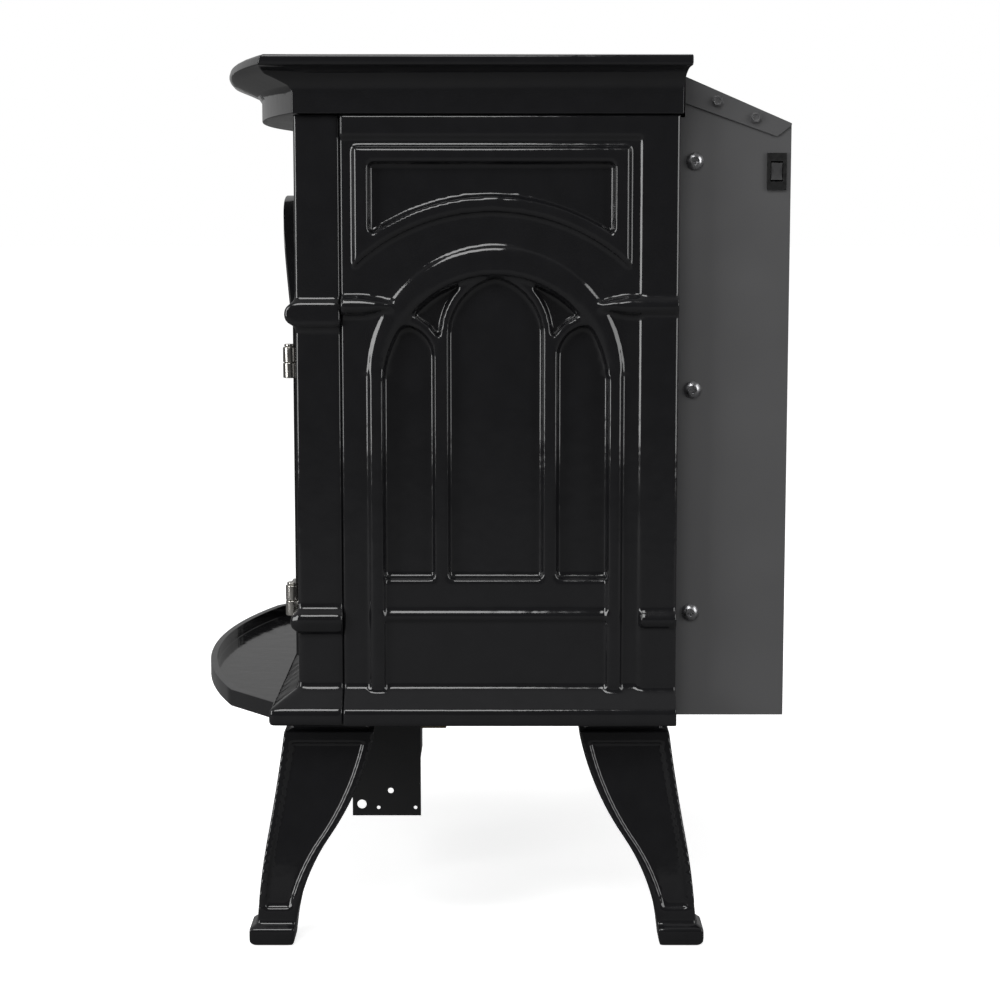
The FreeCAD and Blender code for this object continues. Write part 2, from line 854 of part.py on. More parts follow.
MULLION = "mullion_spread / 2"
HALF_BAR = "mullion_width / 2"
SIDE_LEFT = ("arch_middle - %s - %s - side_lancet_wide" % (MULLION, HALF_BAR),
             "arch_middle - %s - %s" % (MULLION, HALF_BAR))
SIDE_RIGHT = ("arch_middle + %s + %s" % (MULLION, HALF_BAR),
              "arch_middle + %s + %s + side_lancet_wide" % (MULLION, HALF_BAR))
CENTRE = ("arch_middle - %s + %s" % (MULLION, HALF_BAR), "arch_middle + %s - %s" % (MULLION, HALF_BAR))
lancets = [
    lancet(*SIDE_LEFT, "sill_level", "side_lancet_spring", "side_lancet_top"),
    lancet(*CENTRE, "sill_level", "centre_lancet_spring", "centre_lancet_top"),
    lancet(*SIDE_RIGHT, "sill_level", "side_lancet_spring", "side_lancet_top"),
]
TRACERY_LEVELS = ("body_half - tracery_depth", BEAD_FACE)


def grown(jambs, spring, crown):
    """A lancet grown by the width of a tracery bar."""
    left, right = "%s - fork_width" % jambs[0], "%s + fork_width" % jambs[1]
    return lancet(left, right, "sill_level", spring, "%s + fork_crown" % crown)


openings = prism("tracery_lights", "x", *TRACERY_LEVELS, *lancets)
field = prism("tracery_field", "x", *TRACERY_LEVELS, arch_inner)
EYELET_HALF = "arch_half - arch_band - fork_width / 2"
EYELET_SPRING = ARCH_INNER_SPRING + " + air_gap"
eyelet_arch = round_arch("arch_middle", EYELET_HALF, "side_lancet_spring", EYELET_SPRING)
eyelet_field = prism("eyelet_field", "x", *TRACERY_LEVELS, eyelet_arch)
grown_lancets = [
    grown(SIDE_LEFT, "side_lancet_spring", "side_lancet_top"),
    grown(CENTRE, "centre_lancet_spring", "centre_lancet_top"),
    grown(SIDE_RIGHT, "side_lancet_spring", "side_lancet_top"),
]
covers = [prism("tracery_cover", "x", *TRACERY_LEVELS, outline) for outline in grown_lancets]
eyelets = cut("tracery_eyelets", eyelet_field, *covers)
side_right = cut("side_panel_right", side.body, common("tracery_sunk", openings, field), eyelets)
keep(side_right, "side_panel_right")
keep(mirror("side_panel_left", side_right, vec(1, 0, 0)), "side_panel_left")


# Back plate and base plate close the cast box
back = Piece("back_plate")
INNER_SPAN = both("body_half - casting_wall - air_gap")
back.pad("y", BACK_FACE, "body_rear", rectangle(INNER_SPAN, (BASE_TOP, PANEL_TOP)))
keep(back, "back_plate")

PLATE_TOP = "leg_height + base_plate_thick"
base = Piece("base_blank")
base.pad("z", "leg_height", PLATE_TOP,
         rectangle(INNER_SPAN, (FRONT_BACK + " + air_gap", "body_rear")),
         ("circle", *VENTURI, "venturi_radius + pipe_gap"),
         ("circle", *PILOT, "pilot_tube_radius + pipe_gap"))


# Hearth tray: a shallow lip hung on the front of the base
def tray_outline(inset):
    """The plan of the tray drawn in by an inset."""
    half = "(tray_corner_half - %s)" % inset
    bow = "(tray_front - tray_corner)"
    radius = "(%s^2 + %s^2) / (2 * %s)" % (half, bow, bow)
    corner = "-tray_corner + %s" % inset
    back_half = "tray_back_half - 2 * %s" % inset
    return [(negative(half), corner), ("0", "-tray_front + %s" % inset, radius), (half, corner, radius),
            (back_half, BASE_FRONT), (negative(back_half), BASE_FRONT)]


TRAY_FOOT = "tray_top - tray_high"
tray = Piece("hearth_tray")
tray.pad("z", TRAY_FOOT, "tray_top", tray_outline("0"))
tray.pocket("z", "tray_top - tray_high + tray_floor", "tray_top", tray_outline("tray_rim"))
tongue = (BASE_FRONT + " - tongue_lap", BASE_FRONT + " + tray_tongue")
ledge = (BASE_FRONT + " - tongue_lap", BASE_FRONT + " + tray_ledge")
tray.pad("z", TRAY_FOOT, "leg_height", rectangle(both("tongue_half"), tongue))
tray.pad("z", TRAY_FOOT, "leg_height", rectangle(both("tray_back_half - 2 * tray_rim"), ledge))
keep(tray, "hearth_tray")


# Legs: a cabriole profile seen from the front and from the side, hollow behind
LEG_TOP = "leg_height - leg_neck"


def leg_point(origin, inward, reach, level):
    return ("(%s) + %d * (%s)" % (origin, inward, reach), level)


def leg_profile(origin, inward):
    """The leg in one view, from its outer edge at the top. Inward is 1 or -1 along the view's axis."""
    def at(reach, level, radius=None):
        point = leg_point(origin, inward, reach, level)
        return point + ("%d * (%s)" % (inward, radius),) if radius else point
    return [
        at("0", LEG_TOP), at("-knee_kick", "knee_level", "-knee_hollow"),
        at("-leg_kick", "foot_high", "knee_swell"),
        at("-leg_kick - foot_flare", "foot_high - foot_flare / 2"),
        at("-leg_kick - foot_flare", "foot_flare / 2"), at("-leg_kick - foot_flare / 2", "0"),
        at("ankle_wide - leg_kick - foot_taper", "0"), at("ankle_wide - leg_kick", "foot_high"),
        at("knee_wide - knee_kick", "knee_level", "-calf_hollow"), at("leg_wide", LEG_TOP, "calf_swell")]


def leg_panel(origin, inward):
    """The sunk panel of one face of the leg, inside its border."""
    def at(reach, level, radius=None):
        point = leg_point(origin, inward, reach, level)
        return point + ("%d * (%s)" % (inward, radius),) if radius else point
    low = "foot_high + 2 * leg_border"
    high = LEG_TOP + " - 1.5 * leg_border"
    return [
        at("leg_border", high), at("leg_border - knee_kick", "knee_level", "-knee_hollow"),
        at("leg_border - leg_kick", low, "knee_swell"),
        at("ankle_wide - leg_kick - leg_border + panel_ease", low),
        at("knee_wide - knee_kick - leg_border", "knee_level", "-calf_hollow"),
        at("leg_wide - leg_border - panel_shoulder", high, "calf_swell")]


LEG_X = "leg_half"
LEG_Y = "-leg_front"
X_SPAN = ("leg_half - 2 * leg_wide", "leg_half + leg_wide")
Y_SPAN = ("-leg_front - leg_wide", "-leg_front + 2 * leg_wide")


def leg_core(label, depth):
    """The leg's mass with its outer faces drawn in by a depth."""
    seen_side = prism(label + "_side", "x", *X_SPAN, leg_profile("-leg_front + %s" % depth, 1))
    seen_front = prism(label + "_front", "y", *Y_SPAN, leg_profile("leg_half - %s" % depth, -1))
    return seen_side, seen_front


outer_side, outer_front = leg_core("leg_outer", "0")
sunk_side, sunk_front = leg_core("leg_sunk", "panel_depth")
hollow_side, hollow_front = leg_core("leg_hollow", "leg_wall")
neck = box("leg_neck_block", (LEG_X + " - leg_wide + leg_border", LEG_X + " - leg_border"),
           (LEG_Y + " + leg_border", LEG_Y + " + leg_wide - leg_border"), (LEG_TOP, "leg_height"))
leg_mass = fuse("leg_mass", common("leg_blank", outer_side, outer_front), neck)
side_sunk = prism("leg_side_panel", "x", *X_SPAN, leg_panel(LEG_Y, 1))
front_sunk = prism("leg_front_panel", "y", *Y_SPAN, leg_panel(LEG_X, -1))
side_panel_cut = cut("leg_side_cut", side_sunk, sunk_front)
front_panel_cut = cut("leg_front_cut", front_sunk, sunk_side)
room = box("leg_room", X_SPAN, Y_SPAN, ("foot_high + 3 * leg_border", LEG_TOP + " - leg_border"))
hollow_core = common("leg_hollow_core", common("leg_hollow_blank", hollow_side, hollow_front), room)
BOLT_X = LEG_X + " - leg_wide / 2"
BOLT_Y = LEG_Y + " + leg_wide / 2"
bolt_bore = rod("leg_bolt_bore", "z", "bolt_radius + running_fit", BOLT_X, BOLT_Y, LEG_TOP + " - leg_border",
                "leg_neck + leg_border")
leg = cut("leg_front_right", leg_mass, side_panel_cut, front_panel_cut, hollow_core, bolt_bore)
keep(leg, "leg_front_right")
keep(mirror("leg_front_left", leg, vec(1, 0, 0)), "leg_front_left")
rear_leg = mirror("leg_rear_right", leg, vec(0, 1, 0), "leg_mid")
keep(rear_leg, "leg_rear_right")
keep(mirror("leg_rear_left", rear_leg, vec(1, 0, 0)), "leg_rear_left")


def hex_head(label, axis, across, x, y, z, high):
    """A hexagon head on a face across an axis."""
    head = doc.addObject("Part::Prism", label)
    head.Polygon = 6
    head.Placement = FreeCAD.Placement(vec(0, 0, 0), TURN[axis])
    bind(head, Circumradius="(%s) / sqrt(3)" % across, Height=high)
    return place(head, x, y, z)


# Bolts hold the legs to the base plate, rods tie the base plate to the top plate
leg_bolts = []
bolt_bores = []
for side_sign in (1, -1):
    for y in (BOLT_Y, "2 * leg_mid - (%s)" % BOLT_Y):
        x = "%d * (%s)" % (side_sign, BOLT_X)
        stem = rod("leg_bolt_stem", "z", "bolt_radius", x, y, LEG_TOP, "leg_neck + base_plate_thick")
        head = hex_head("leg_bolt_head", "z", "bolt_across", x, y, PLATE_TOP, "bolt_head")
        leg_bolts.append(fuse("leg_bolt", stem, head))
        bore = rod("base_bolt_bore", "z", "bolt_radius + air_gap", x, y, "leg_height", "base_plate_thick")
        bolt_bores.append(bore)
keep(cut("base_plate", base.body, *bolt_bores), "base_plate")
keep(group("leg_bolts", *leg_bolts), "leg_bolts")

TIE_LONG = "stove_height - top_wall - (%s)" % PLATE_TOP
tie_rods = []
for side_sign in (1, -1):
    for y in (FRONT_BACK + " + tie_inset", BACK_FACE + " - tie_inset"):
        x = "%d * (body_half - casting_wall - tie_inset)" % side_sign
        stem = rod("tie_stem", "z", "tie_radius", x, y, PLATE_TOP, TIE_LONG)
        nut = hex_head("tie_nut", "z", "bolt_across", x, y, PLATE_TOP, "bolt_head")
        tie_rods.append(fuse("tie_rod", stem, nut))
keep(group("tie_rods", *tie_rods), "tie_rods")


# Rear casing: a folded sheet box behind the back plate
HOOD_FRONT = "(body_rear + rear_rim + cove_rear * hood_tuck)"
CASING_FRONT = "body_rear"


def casing_profile():
    """The casing seen from the side, under its sloping lid."""
    rim = PANEL_TOP + " - rear_rim"
    return [(CASING_FRONT, "casing_foot"), ("casing_rear", "casing_foot"),
            ("casing_rear", "hood_low - sheet"), (HOOD_FRONT, "hood_high - sheet"), (HOOD_FRONT, rim),
            (CASING_FRONT, rim)]


# The room inside the casing is open towards the back plate and the hood
CASING_ROOM = rectangle((CASING_FRONT + " - sheet", "casing_rear - sheet"),
                        ("casing_foot + sheet", "hood_high + sheet"))


SWITCH_Z = "switch_level"
SWITCH_Y = "casing_rear - switch_inset"


def switch_frame(half_wide, half_high):
    """A rectangle about the middle of the switch on the casing's side."""
    return rectangle(("%s - (%s)" % (SWITCH_Y, half_wide), "%s + %s" % (SWITCH_Y, half_wide)),
                     ("%s - (%s)" % (SWITCH_Z, half_high), "%s + %s" % (SWITCH_Z, half_high)))


HOOD_SLOPE = "(hood_high - hood_low) / (casing_rear - %s)" % HOOD_FRONT
HOOD_SCREW_SHARES = (0.3, 0.66)
GLAND = ("circle", "-gland_side", "gland_level")
LOUVRES = 9
SCREW_Y = "body_rear + casing_screw_inset"
screw_levels = ["casing_screw_low + %d * casing_screw_step" % i for i in range(3)]
hood_screws_at = []
for share in HOOD_SCREW_SHARES:
    y = "%s + %s * (casing_rear - %s)" % (HOOD_FRONT, share, HOOD_FRONT)
    fall = "%s * ((%s) - %s)" % (HOOD_SLOPE, y, HOOD_FRONT)
    hood_screws_at.append((y, "hood_high - %s - hood_screw_drop" % fall))

casing = Piece("rear_casing")
casing.pad("x", "-casing_half", "casing_half", casing_profile())
casing.pocket("x", "-casing_half + sheet", "casing_half - sheet", CASING_ROOM)
casing.pocket("x", "-casing_half", "casing_half",
              *[("circle", SCREW_Y, level, "screw_radius + air_gap") for level in screw_levels],
              *[("circle", y, z, "screw_radius + air_gap") for y, z in hood_screws_at])
casing.pocket("x", "0", "casing_half",
              switch_frame("switch_wide / 2 - bezel_side_lap", "switch_high / 2 - bezel_lap"))
slots = []
for i in range(LOUVRES):
    level = "louvre_level + %d * louvre_step" % i
    slots.append(rectangle(both("louvre_half"), (level, level + " + louvre_high")))
casing.pocket("y", "casing_rear - 2 * sheet", "casing_rear", *slots,
              (*GLAND, "gland_radius + air_gap"))
keep(casing, "rear_casing")

# Hood: a sloping lid with a folded flange down each side
hood = Piece("casing_hood")
hood_top = [(HOOD_FRONT, "hood_high"), ("casing_rear", "hood_low"), ("casing_rear", "hood_low - sheet"),
            (HOOD_FRONT, "hood_high - sheet")]
flange = [(HOOD_FRONT, "hood_high"), (HOOD_FRONT, "hood_high - hood_flange"),
          ("casing_rear - hood_cut", "hood_low - hood_flange / 2"), ("casing_rear", "hood_low - sheet"),
          ("casing_rear", "hood_low")]
hood.pad("x", "-casing_half - sheet", "casing_half + sheet", hood_top)
hood.pad("x", "casing_half", "casing_half + sheet", flange)
hood.pad("x", "-casing_half - sheet", "-casing_half", flange)
hood.pocket("x", "-casing_half - sheet", "casing_half + sheet",
            *[("circle", y, z, "screw_radius + air_gap") for y, z in hood_screws_at])
keep(hood, "casing_hood")


def side_screw(label, y, z, face, sign, head):
    """A screw through a side sheet, with the head that a function makes on its face."""
    start = "%d * (%s)" % (sign, face)
    stem_start = "%s - screw_long" % start if sign > 0 else start
    stem = rod(label + "_stem", "x", "screw_radius", stem_start, y, z, "screw_long")
    return fuse(label, stem, head(label + "_head", start, y, z, sign))


def pan_head(label, start, y, z, sign):
    near, far = ("pan_radius", "pan_crown") if sign > 0 else ("pan_crown", "pan_radius")
    return rod(label, "x", near, start if sign > 0 else "%s - pan_high" % start, y, z, "pan_high", far)


def small_hex(label, start, y, z, sign):
    near = start if sign > 0 else "%s - pan_high" % start
    return hex_head(label, "x", "hood_screw_across", near, y, z, "pan_high")


casing_screws = []
hood_screws = []
for sign in (1, -1):
    for level in screw_levels:
        casing_screws.append(side_screw("casing_screw", SCREW_Y, level, "casing_half", sign, pan_head))
    for y, z in hood_screws_at:
        hood_screws.append(side_screw("hood_screw", y, z, "casing_half + sheet", sign, small_hex))
keep(group("casing_screws", *casing_screws), "casing_screws")
keep(group("hood_screws", *hood_screws), "hood_screws")

# Fan switch: a bezel clipped into the casing, with a rocker on trunnions
PIVOT_X = "casing_half - rocker_back"
switch = Piece("fan_switch_housing")
switch.pad("x", "casing_half - switch_deep", "casing_half",
           switch_frame("switch_wide / 2 - bezel_side_lap - air_gap",
                        "switch_high / 2 - bezel_lap - air_gap"))
switch.pad("x", "casing_half", "casing_half + bezel_proud",
           switch_frame("switch_wide / 2", "switch_high / 2"))
switch.pocket("x", "casing_half - switch_deep + switch_back", "casing_half + bezel_proud",
              switch_frame("rocker_wide / 2 + rocker_gap", "rocker_high / 2 + 2 * rocker_gap"))
TRUNNION_SEAT = "switch_wide / 2 - trunnion_wall"
switch.pocket("y", "%s - (%s)" % (SWITCH_Y, TRUNNION_SEAT), "%s + %s" % (SWITCH_Y, TRUNNION_SEAT),
              ("circle", PIVOT_X, SWITCH_Z, "trunnion_radius + running_fit"))
keep(switch, "fan_switch_housing")

rocker = Piece("fan_rocker")
rocker.pad("y", "%s - rocker_wide / 2" % SWITCH_Y, "%s + rocker_wide / 2" % SWITCH_Y,
           [(PIVOT_X + " - rocker_back * 2", SWITCH_Z + " - rocker_high / 4"),
            ("casing_half + bezel_proud", SWITCH_Z + " - rocker_high / 2"),
            ("casing_half + bezel_proud / 4", SWITCH_Z),
            ("casing_half + bezel_proud", SWITCH_Z + " + rocker_high / 2"),
            (PIVOT_X + " - rocker_back * 2", SWITCH_Z + " + rocker_high / 4")])
TRUNNION = TRUNNION_SEAT + " - trunnion_play"
rocker.pad("y", "%s - (%s)" % (SWITCH_Y, TRUNNION), "%s + %s" % (SWITCH_Y, TRUNNION),
           ("circle", PIVOT_X, SWITCH_Z, "trunnion_radius"))
keep(rocker, "fan_rocker")

# Blower: a drum wheel in a trough on the casing floor, turned by a motor at its end
WHEEL_Y = "(body_rear + casing_rear) / 2"
WHEEL_Z = "casing_foot + sheet + blower_sheet + wheel_radius + wheel_gap"
TROUGH_END = "wheel_half + wheel_gap"
trough_outer = "wheel_radius + wheel_gap + blower_sheet"
trough_inner = "wheel_radius + wheel_gap"
trough = Piece("blower_housing")
trough.pad("x", "-wheel_half - wheel_gap - blower_sheet", "wheel_half + wheel_gap + blower_sheet",
           rectangle(("%s - (%s)" % (WHEEL_Y, trough_outer), "%s + %s" % (WHEEL_Y, trough_outer)),
                     ("casing_foot + sheet", WHEEL_Z + " + " + trough_outer)))
trough.pocket("x", "-wheel_half - wheel_gap", TROUGH_END,
              rectangle(("%s - (%s)" % (WHEEL_Y, trough_inner), "%s + %s" % (WHEEL_Y, trough_inner)),
                        ("casing_foot + sheet + blower_sheet", WHEEL_Z + " + 2 * (%s)" % trough_outer)))
trough.pocket("x", "-wheel_half - 2 * wheel_gap", "wheel_half + 2 * wheel_gap",
              ("circle", WHEEL_Y, WHEEL_Z, "shaft_radius + running_fit"))
outlet = (WHEEL_Z + " - wheel_radius / 2", WHEEL_Z + " + wheel_radius / 2")
trough.pocket("y", WHEEL_Y, "casing_rear", rectangle(both("wheel_half - wheel_gap"), outlet))
keep(trough, "blower_housing")

MOTOR_FACE = "wheel_half + wheel_gap + blower_sheet"
drum_parts = [rod("blower_shaft", "x", "shaft_radius", "-(%s)" % MOTOR_FACE, WHEEL_Y, WHEEL_Z,
                  "2 * (%s) + motor_long / 2" % MOTOR_FACE)]
for start in ("-wheel_half", "-drum_disc / 2", "wheel_half - drum_disc"):
    drum_parts.append(rod("drum_disc", "x", "wheel_radius", start, WHEEL_Y, WHEEL_Z, "drum_disc"))
BLADES = 20
for i in range(BLADES):
    turn = math.radians(360 * i / BLADES)
    blade = rod("drum_blade", "x", "blade_radius", "-wheel_half",
                "%s + %s * (wheel_radius - blade_inset)" % (WHEEL_Y, math.cos(turn)),
                "%s + %s * (wheel_radius - blade_inset)" % (WHEEL_Z, math.sin(turn)), "2 * wheel_half")
    drum_parts.append(blade)
keep(fuse("blower_wheel", *drum_parts), "blower_wheel")

motor_can = rod("motor_can", "x", "motor_radius", MOTOR_FACE, WHEEL_Y, WHEEL_Z, "motor_long")
motor_bore = rod("motor_bore", "x", "shaft_radius + running_fit", MOTOR_FACE, WHEEL_Y, WHEEL_Z,
                 "motor_long / 2 + shaft_play")
keep(cut("blower_motor", motor_can, motor_bore), "blower_motor")

# Gland for the mains lead
gland = Piece("lead_gland")
GLAND_INNER = "casing_rear - sheet - gland_lip"
gland.pad("y", GLAND_INNER, "casing_rear + gland_lip", (*GLAND, "gland_radius"), (*GLAND, "lead_radius"))
for lower, upper in (("casing_rear", "casing_rear + gland_lip"), (GLAND_INNER, "casing_rear - sheet")):
    gland.pad("y", lower, upper, (*GLAND, "gland_radius + gland_lip"), (*GLAND, "lead_radius"))
keep(gland, "lead_gland")


# Door: a bowed arched casting with three lights, hung in front of the front plate
DOOR_BACK = "-body_front - door_gap"
DOOR_FRONT = "body_front + door_gap + door_edge_thick"
DOOR_FACE = negative("%s + door_bow" % DOOR_FRONT)
REBATE = "%s - gasket_thick - glass_thick - clip_thick" % DOOR_BACK
GLASS_FRONT = "%s - glass_thick - clip_thick" % DOOR_BACK
GLASS_BACK = "%s - clip_thick" % DOOR_BACK
door_slab = prism("door_slab", "y", DOOR_FACE, DOOR_BACK, door_outline("0"))
door_bowed = bowed("door_half", DOOR_FRONT, "door_bow", DOOR_BACK)
door_plan = prism("door_plan", "z", "door_foot", "door_top", door_bowed)
CREST_FACE = negative("%s + crest_bow" % DOOR_FRONT)
crest_ring = prism("crest_ring", "y", CREST_FACE, DOOR_BACK, door_outline("0"), door_outline("crest_wide"))
crest_bowed = bowed("door_half", DOOR_FRONT, "crest_bow", DOOR_BACK)
crest_plan = prism("crest_plan", "z", "door_spring", "door_top", crest_bowed)
SIDE_LIGHT_IN = "centre_light_half + door_bar"
SIDE_LIGHT_OUT = "door_half - door_stile"
LIGHT_FOOT = "door_foot + door_rail"
SIDE_LIGHT = (LIGHT_FOOT, "side_light_spring", "side_light_top")
lights = [
    lancet("-centre_light_half", "centre_light_half", LIGHT_FOOT, "centre_light_spring", "centre_light_top"),
    lancet(SIDE_LIGHT_IN, SIDE_LIGHT_OUT, *SIDE_LIGHT),
    lancet(negative(SIDE_LIGHT_OUT), negative(SIDE_LIGHT_IN), *SIDE_LIGHT),
]
door_lights = prism("door_lights", "y", DOOR_FACE, DOOR_BACK, *lights)
door_rebate = prism("door_rebate", "y", REBATE, DOOR_BACK, door_outline("rebate_inset"))
ROPE_SEAT = "%s - rope_deep" % DOOR_BACK
rope_groove = prism("rope_groove", "y", ROPE_SEAT, DOOR_BACK, door_outline("rope_inset"),
                    door_outline("(rope_inset + rope_wide)"))
CLIP_OUT = "door_half - rebate_inset + clip_hold"
CLIP_IN = "door_half - rebate_inset - clip_hold"
CLIP_SCREW = "door_half - rebate_inset + clip_hold / 2"
SCREW_DEEP = "%s - (%s)" % (DOOR_BACK, REBATE)
clip_seats = []
clips = []
clip_screws = []
for sign in (1, -1):
    for level in ("clip_low", "clip_high"):
        span = [CLIP_IN, CLIP_OUT] if sign > 0 else [negative(CLIP_OUT), negative(CLIP_IN)]
        seat_span = ["%s - air_gap" % span[0], "%s + air_gap" % span[1]]
        high = ("%s - clip_high_half - air_gap" % level, "%s + clip_high_half + air_gap" % level)
        clip_seats.append(box("clip_seat", seat_span, (GLASS_BACK, DOOR_BACK), high))
        x = "%d * (%s)" % (sign, CLIP_SCREW)
        clip_seats.append(rod("clip_hole", "y", "screw_radius + running_fit", x, REBATE, level, SCREW_DEEP))
        plate = box("clip_plate", span, (GLASS_BACK, DOOR_BACK),
                    ("%s - clip_high_half" % level, "%s + clip_high_half" % level))
        hole = rod("clip_bore", "y", "screw_radius + air_gap", x, GLASS_BACK, level, "clip_thick")
        clips.append(cut("glass_clip", plate, hole))
        stem = rod("clip_stem", "y", "screw_radius", x, REBATE, level, SCREW_DEEP)
        head = rod("clip_head", "y", "clip_head_radius", x, DOOR_BACK, level, "screw_radius")
        clip_screws.append(fuse("clip_screw", stem, head))
HANDLE_LEVELS = ("handle_level - handle_half", "handle_level + handle_half")
HANDLE_DEEP = "%s - (%s)" % (REBATE, DOOR_FACE)
handle_holes = []
for level in HANDLE_LEVELS:
    hole = rod("handle_hole", "y", "handle_stem + running_fit", "-handle_side", DOOR_FACE, level, HANDLE_DEEP)
    handle_holes.append(hole)
door_panel = common("door_panel", door_slab, door_plan)
door_blank = fuse("door_blank", door_panel, common("door_crest", crest_ring, crest_plan))
door_casting = cut("door_frame", door_blank, door_lights, door_rebate, rope_groove,
                   *clip_seats, *handle_holes)
keep(door_casting, "door_frame")
glass_outline = door_outline("(rebate_inset + air_gap)")
keep(prism("door_glass", "y", GLASS_FRONT, GLASS_BACK, glass_outline), "door_glass")
keep(prism("glass_gasket", "y", REBATE, GLASS_FRONT, glass_outline,
           door_outline("(rebate_inset + gasket_wide)")), "glass_gasket")
keep(group("glass_clips", *clips), "glass_clips")
keep(group("clip_screws", *clip_screws), "clip_screws")
keep(prism("door_rope", "y", ROPE_SEAT, "-body_front - air_gap", door_outline("(rope_inset + air_gap)"),
           door_outline("(rope_inset + rope_wide - air_gap)")), "door_rope")

# Door pull: a bar on two stems
BAR_Y = "%s + door_bow - handle_reach" % DOOR_FACE
STEM_LONG = "(%s) - (%s)" % (REBATE, BAR_Y)
pull = [rod("pull_bar", "z", "handle_radius", "-handle_side", BAR_Y,
            "handle_level - handle_half - 2 * handle_radius", "2 * handle_half + 4 * handle_radius")]
for level in HANDLE_LEVELS:
    pull.append(rod("pull_stem", "y", "handle_stem", "-handle_side", BAR_Y, level, STEM_LONG))
keep(fuse("door_pull", *pull), "door_pull")

# Hinges: knuckles on the post below, knuckles on the door above, and a pin through both
HINGE_Y = "-hinge_front"
frame_knuckles = []
door_knuckles = []
pins = []
for level in ("low_hinge", "high_hinge"):
    joint = "%s + knuckle_high" % level
    barrel = rod("knuckle", "z", "knuckle_radius", "hinge_side", HINGE_Y, level, "knuckle_high")
    arm = box("knuckle_arm", ("hinge_side - knuckle_arm", "hinge_side + knuckle_arm"),
              (HINGE_Y, "-body_front"), (level, joint))
    bore = rod("knuckle_bore", "z", "pin_radius", "hinge_side", HINGE_Y, level, "knuckle_high")
    frame_knuckles.append(cut("frame_knuckle", fuse("frame_knuckle_blank", barrel, arm), bore))
    leaf_foot = "%s + air_gap" % joint
    barrel = rod("leaf", "z", "knuckle_radius", "hinge_side", HINGE_Y, leaf_foot, "knuckle_high")
    arm = box("leaf_arm", ("door_half", "hinge_side"),
              ("%s - leaf_thick / 2" % HINGE_Y, "%s + leaf_thick / 2" % HINGE_Y),
              (leaf_foot, "%s + knuckle_high" % leaf_foot))
    bore = rod("leaf_bore", "z", "pin_radius + running_fit", "hinge_side", HINGE_Y, leaf_foot, "knuckle_high")
    door_knuckles.append(cut("door_knuckle", fuse("door_knuckle_blank", barrel, arm), bore))
    pin = rod("pin_stem", "z", "pin_radius", "hinge_side", HINGE_Y, level, "2 * knuckle_high + 2 * air_gap")
    cap = rod("pin_cap", "z", "pin_cap_radius", "hinge_side", HINGE_Y,
              "%s + 2 * knuckle_high + 2 * air_gap" % level, "pin_cap_high")
    pins.append(fuse("hinge_pin", pin, cap))
keep(group("hinge_frame_knuckles", *frame_knuckles), "hinge_frame_knuckles")
keep(group("hinge_door_knuckles", *door_knuckles), "hinge_door_knuckles")
keep(group("hinge_pins", *pins), "hinge_pins")


# Firebox: a steel box behind the door, lined with fibre board
FIRE_FRONT = FRONT_BACK + " + air_gap"
FIRE_FLOOR = PLATE_TOP + " + fire_sheet"
FIRE_INNER = "fire_half - fire_sheet"
FIRE_REAR = "fire_rear - fire_sheet"
LINER_FRONT = "fire_rear - fire_sheet - liner_thick"
firebox = Piece("firebox_shell")
firebox.pad("z", PLATE_TOP, "fire_top", rectangle(both("fire_half"), (FIRE_FRONT, "fire_rear")))
firebox.pocket("z", FIRE_FLOOR, "fire_top - fire_sheet", rectangle(both(FIRE_INNER), (FIRE_FRONT, FIRE_REAR)))
firebox.pocket("z", PLATE_TOP, FIRE_FLOOR, ("circle", *VENTURI, "venturi_radius + air_gap"),
               ("circle", *PILOT, "pilot_tube_radius + air_gap"))
keep(firebox, "firebox_shell")
LINER_TOP = "fire_top - fire_sheet - air_gap"
LINER_LEVELS = (FIRE_FLOOR, LINER_TOP)
LINER_SPAN = both("fire_half - fire_sheet - air_gap")
keep(box("liner_back", LINER_SPAN, (LINER_FRONT, FIRE_REAR), LINER_LEVELS), "liner_back")
side_liners = []
for sign in (1, -1):
    faces = ["fire_half - fire_sheet - liner_thick", FIRE_INNER]
    span = faces if sign > 0 else [negative(faces[1]), negative(faces[0])]
    depth = (FIRE_FRONT + " + liner_thick", LINER_FRONT + " - air_gap")
    side_liners.append(box("side_liner", span, depth, LINER_LEVELS))
keep(group("liner_sides", *side_liners), "liner_sides")
BAFFLE_HALF = "fire_half - fire_sheet - liner_thick"
baffle_plate = box("baffle_plate", both(BAFFLE_HALF), ("baffle_front", LINER_FRONT + " - air_gap"),
                   ("baffle_level", "baffle_level + fire_sheet"))
keep(baffle_plate, "heat_baffle")

# Burner: a pan with two rows of ports, its venturi below
BURNER_TOP = FIRE_FLOOR + " + burner_high"
burner = Piece("burner")
BURNER_DEPTH = ("burner_front", "burner_front + burner_deep")
burner.pad("z", FIRE_FLOOR, BURNER_TOP, rectangle(both("burner_half"), BURNER_DEPTH))
burner.pocket("z", FIRE_FLOOR, BURNER_TOP + " - burner_wall",
              rectangle(both("burner_half - burner_wall"),
                        ("burner_front + burner_wall", "burner_front + burner_deep - burner_wall")))
PORTS = 13
PORT_SPAN = 0.9
PORT_ROWS = (0.12, 0.88)
ports = []
for row in PORT_ROWS:
    for i in range(PORTS):
        x = "burner_half * %s" % (PORT_SPAN * (2 * i / (PORTS - 1) - 1))
        ports.append(("circle", x, "burner_front + %s * burner_deep" % row, "port_radius"))
burner.pocket("z", BURNER_TOP + " - burner_wall", BURNER_TOP, *ports)
keep(burner, "burner")
VENTURI_FOOT = "valve_top + injector_high + air_shutter"
venturi = Piece("venturi")
venturi.pad("z", VENTURI_FOOT, FIRE_FLOOR + " + venturi_rise", ("circle", *VENTURI, "venturi_radius"),
            ("circle", *VENTURI, "venturi_radius - burner_wall"))
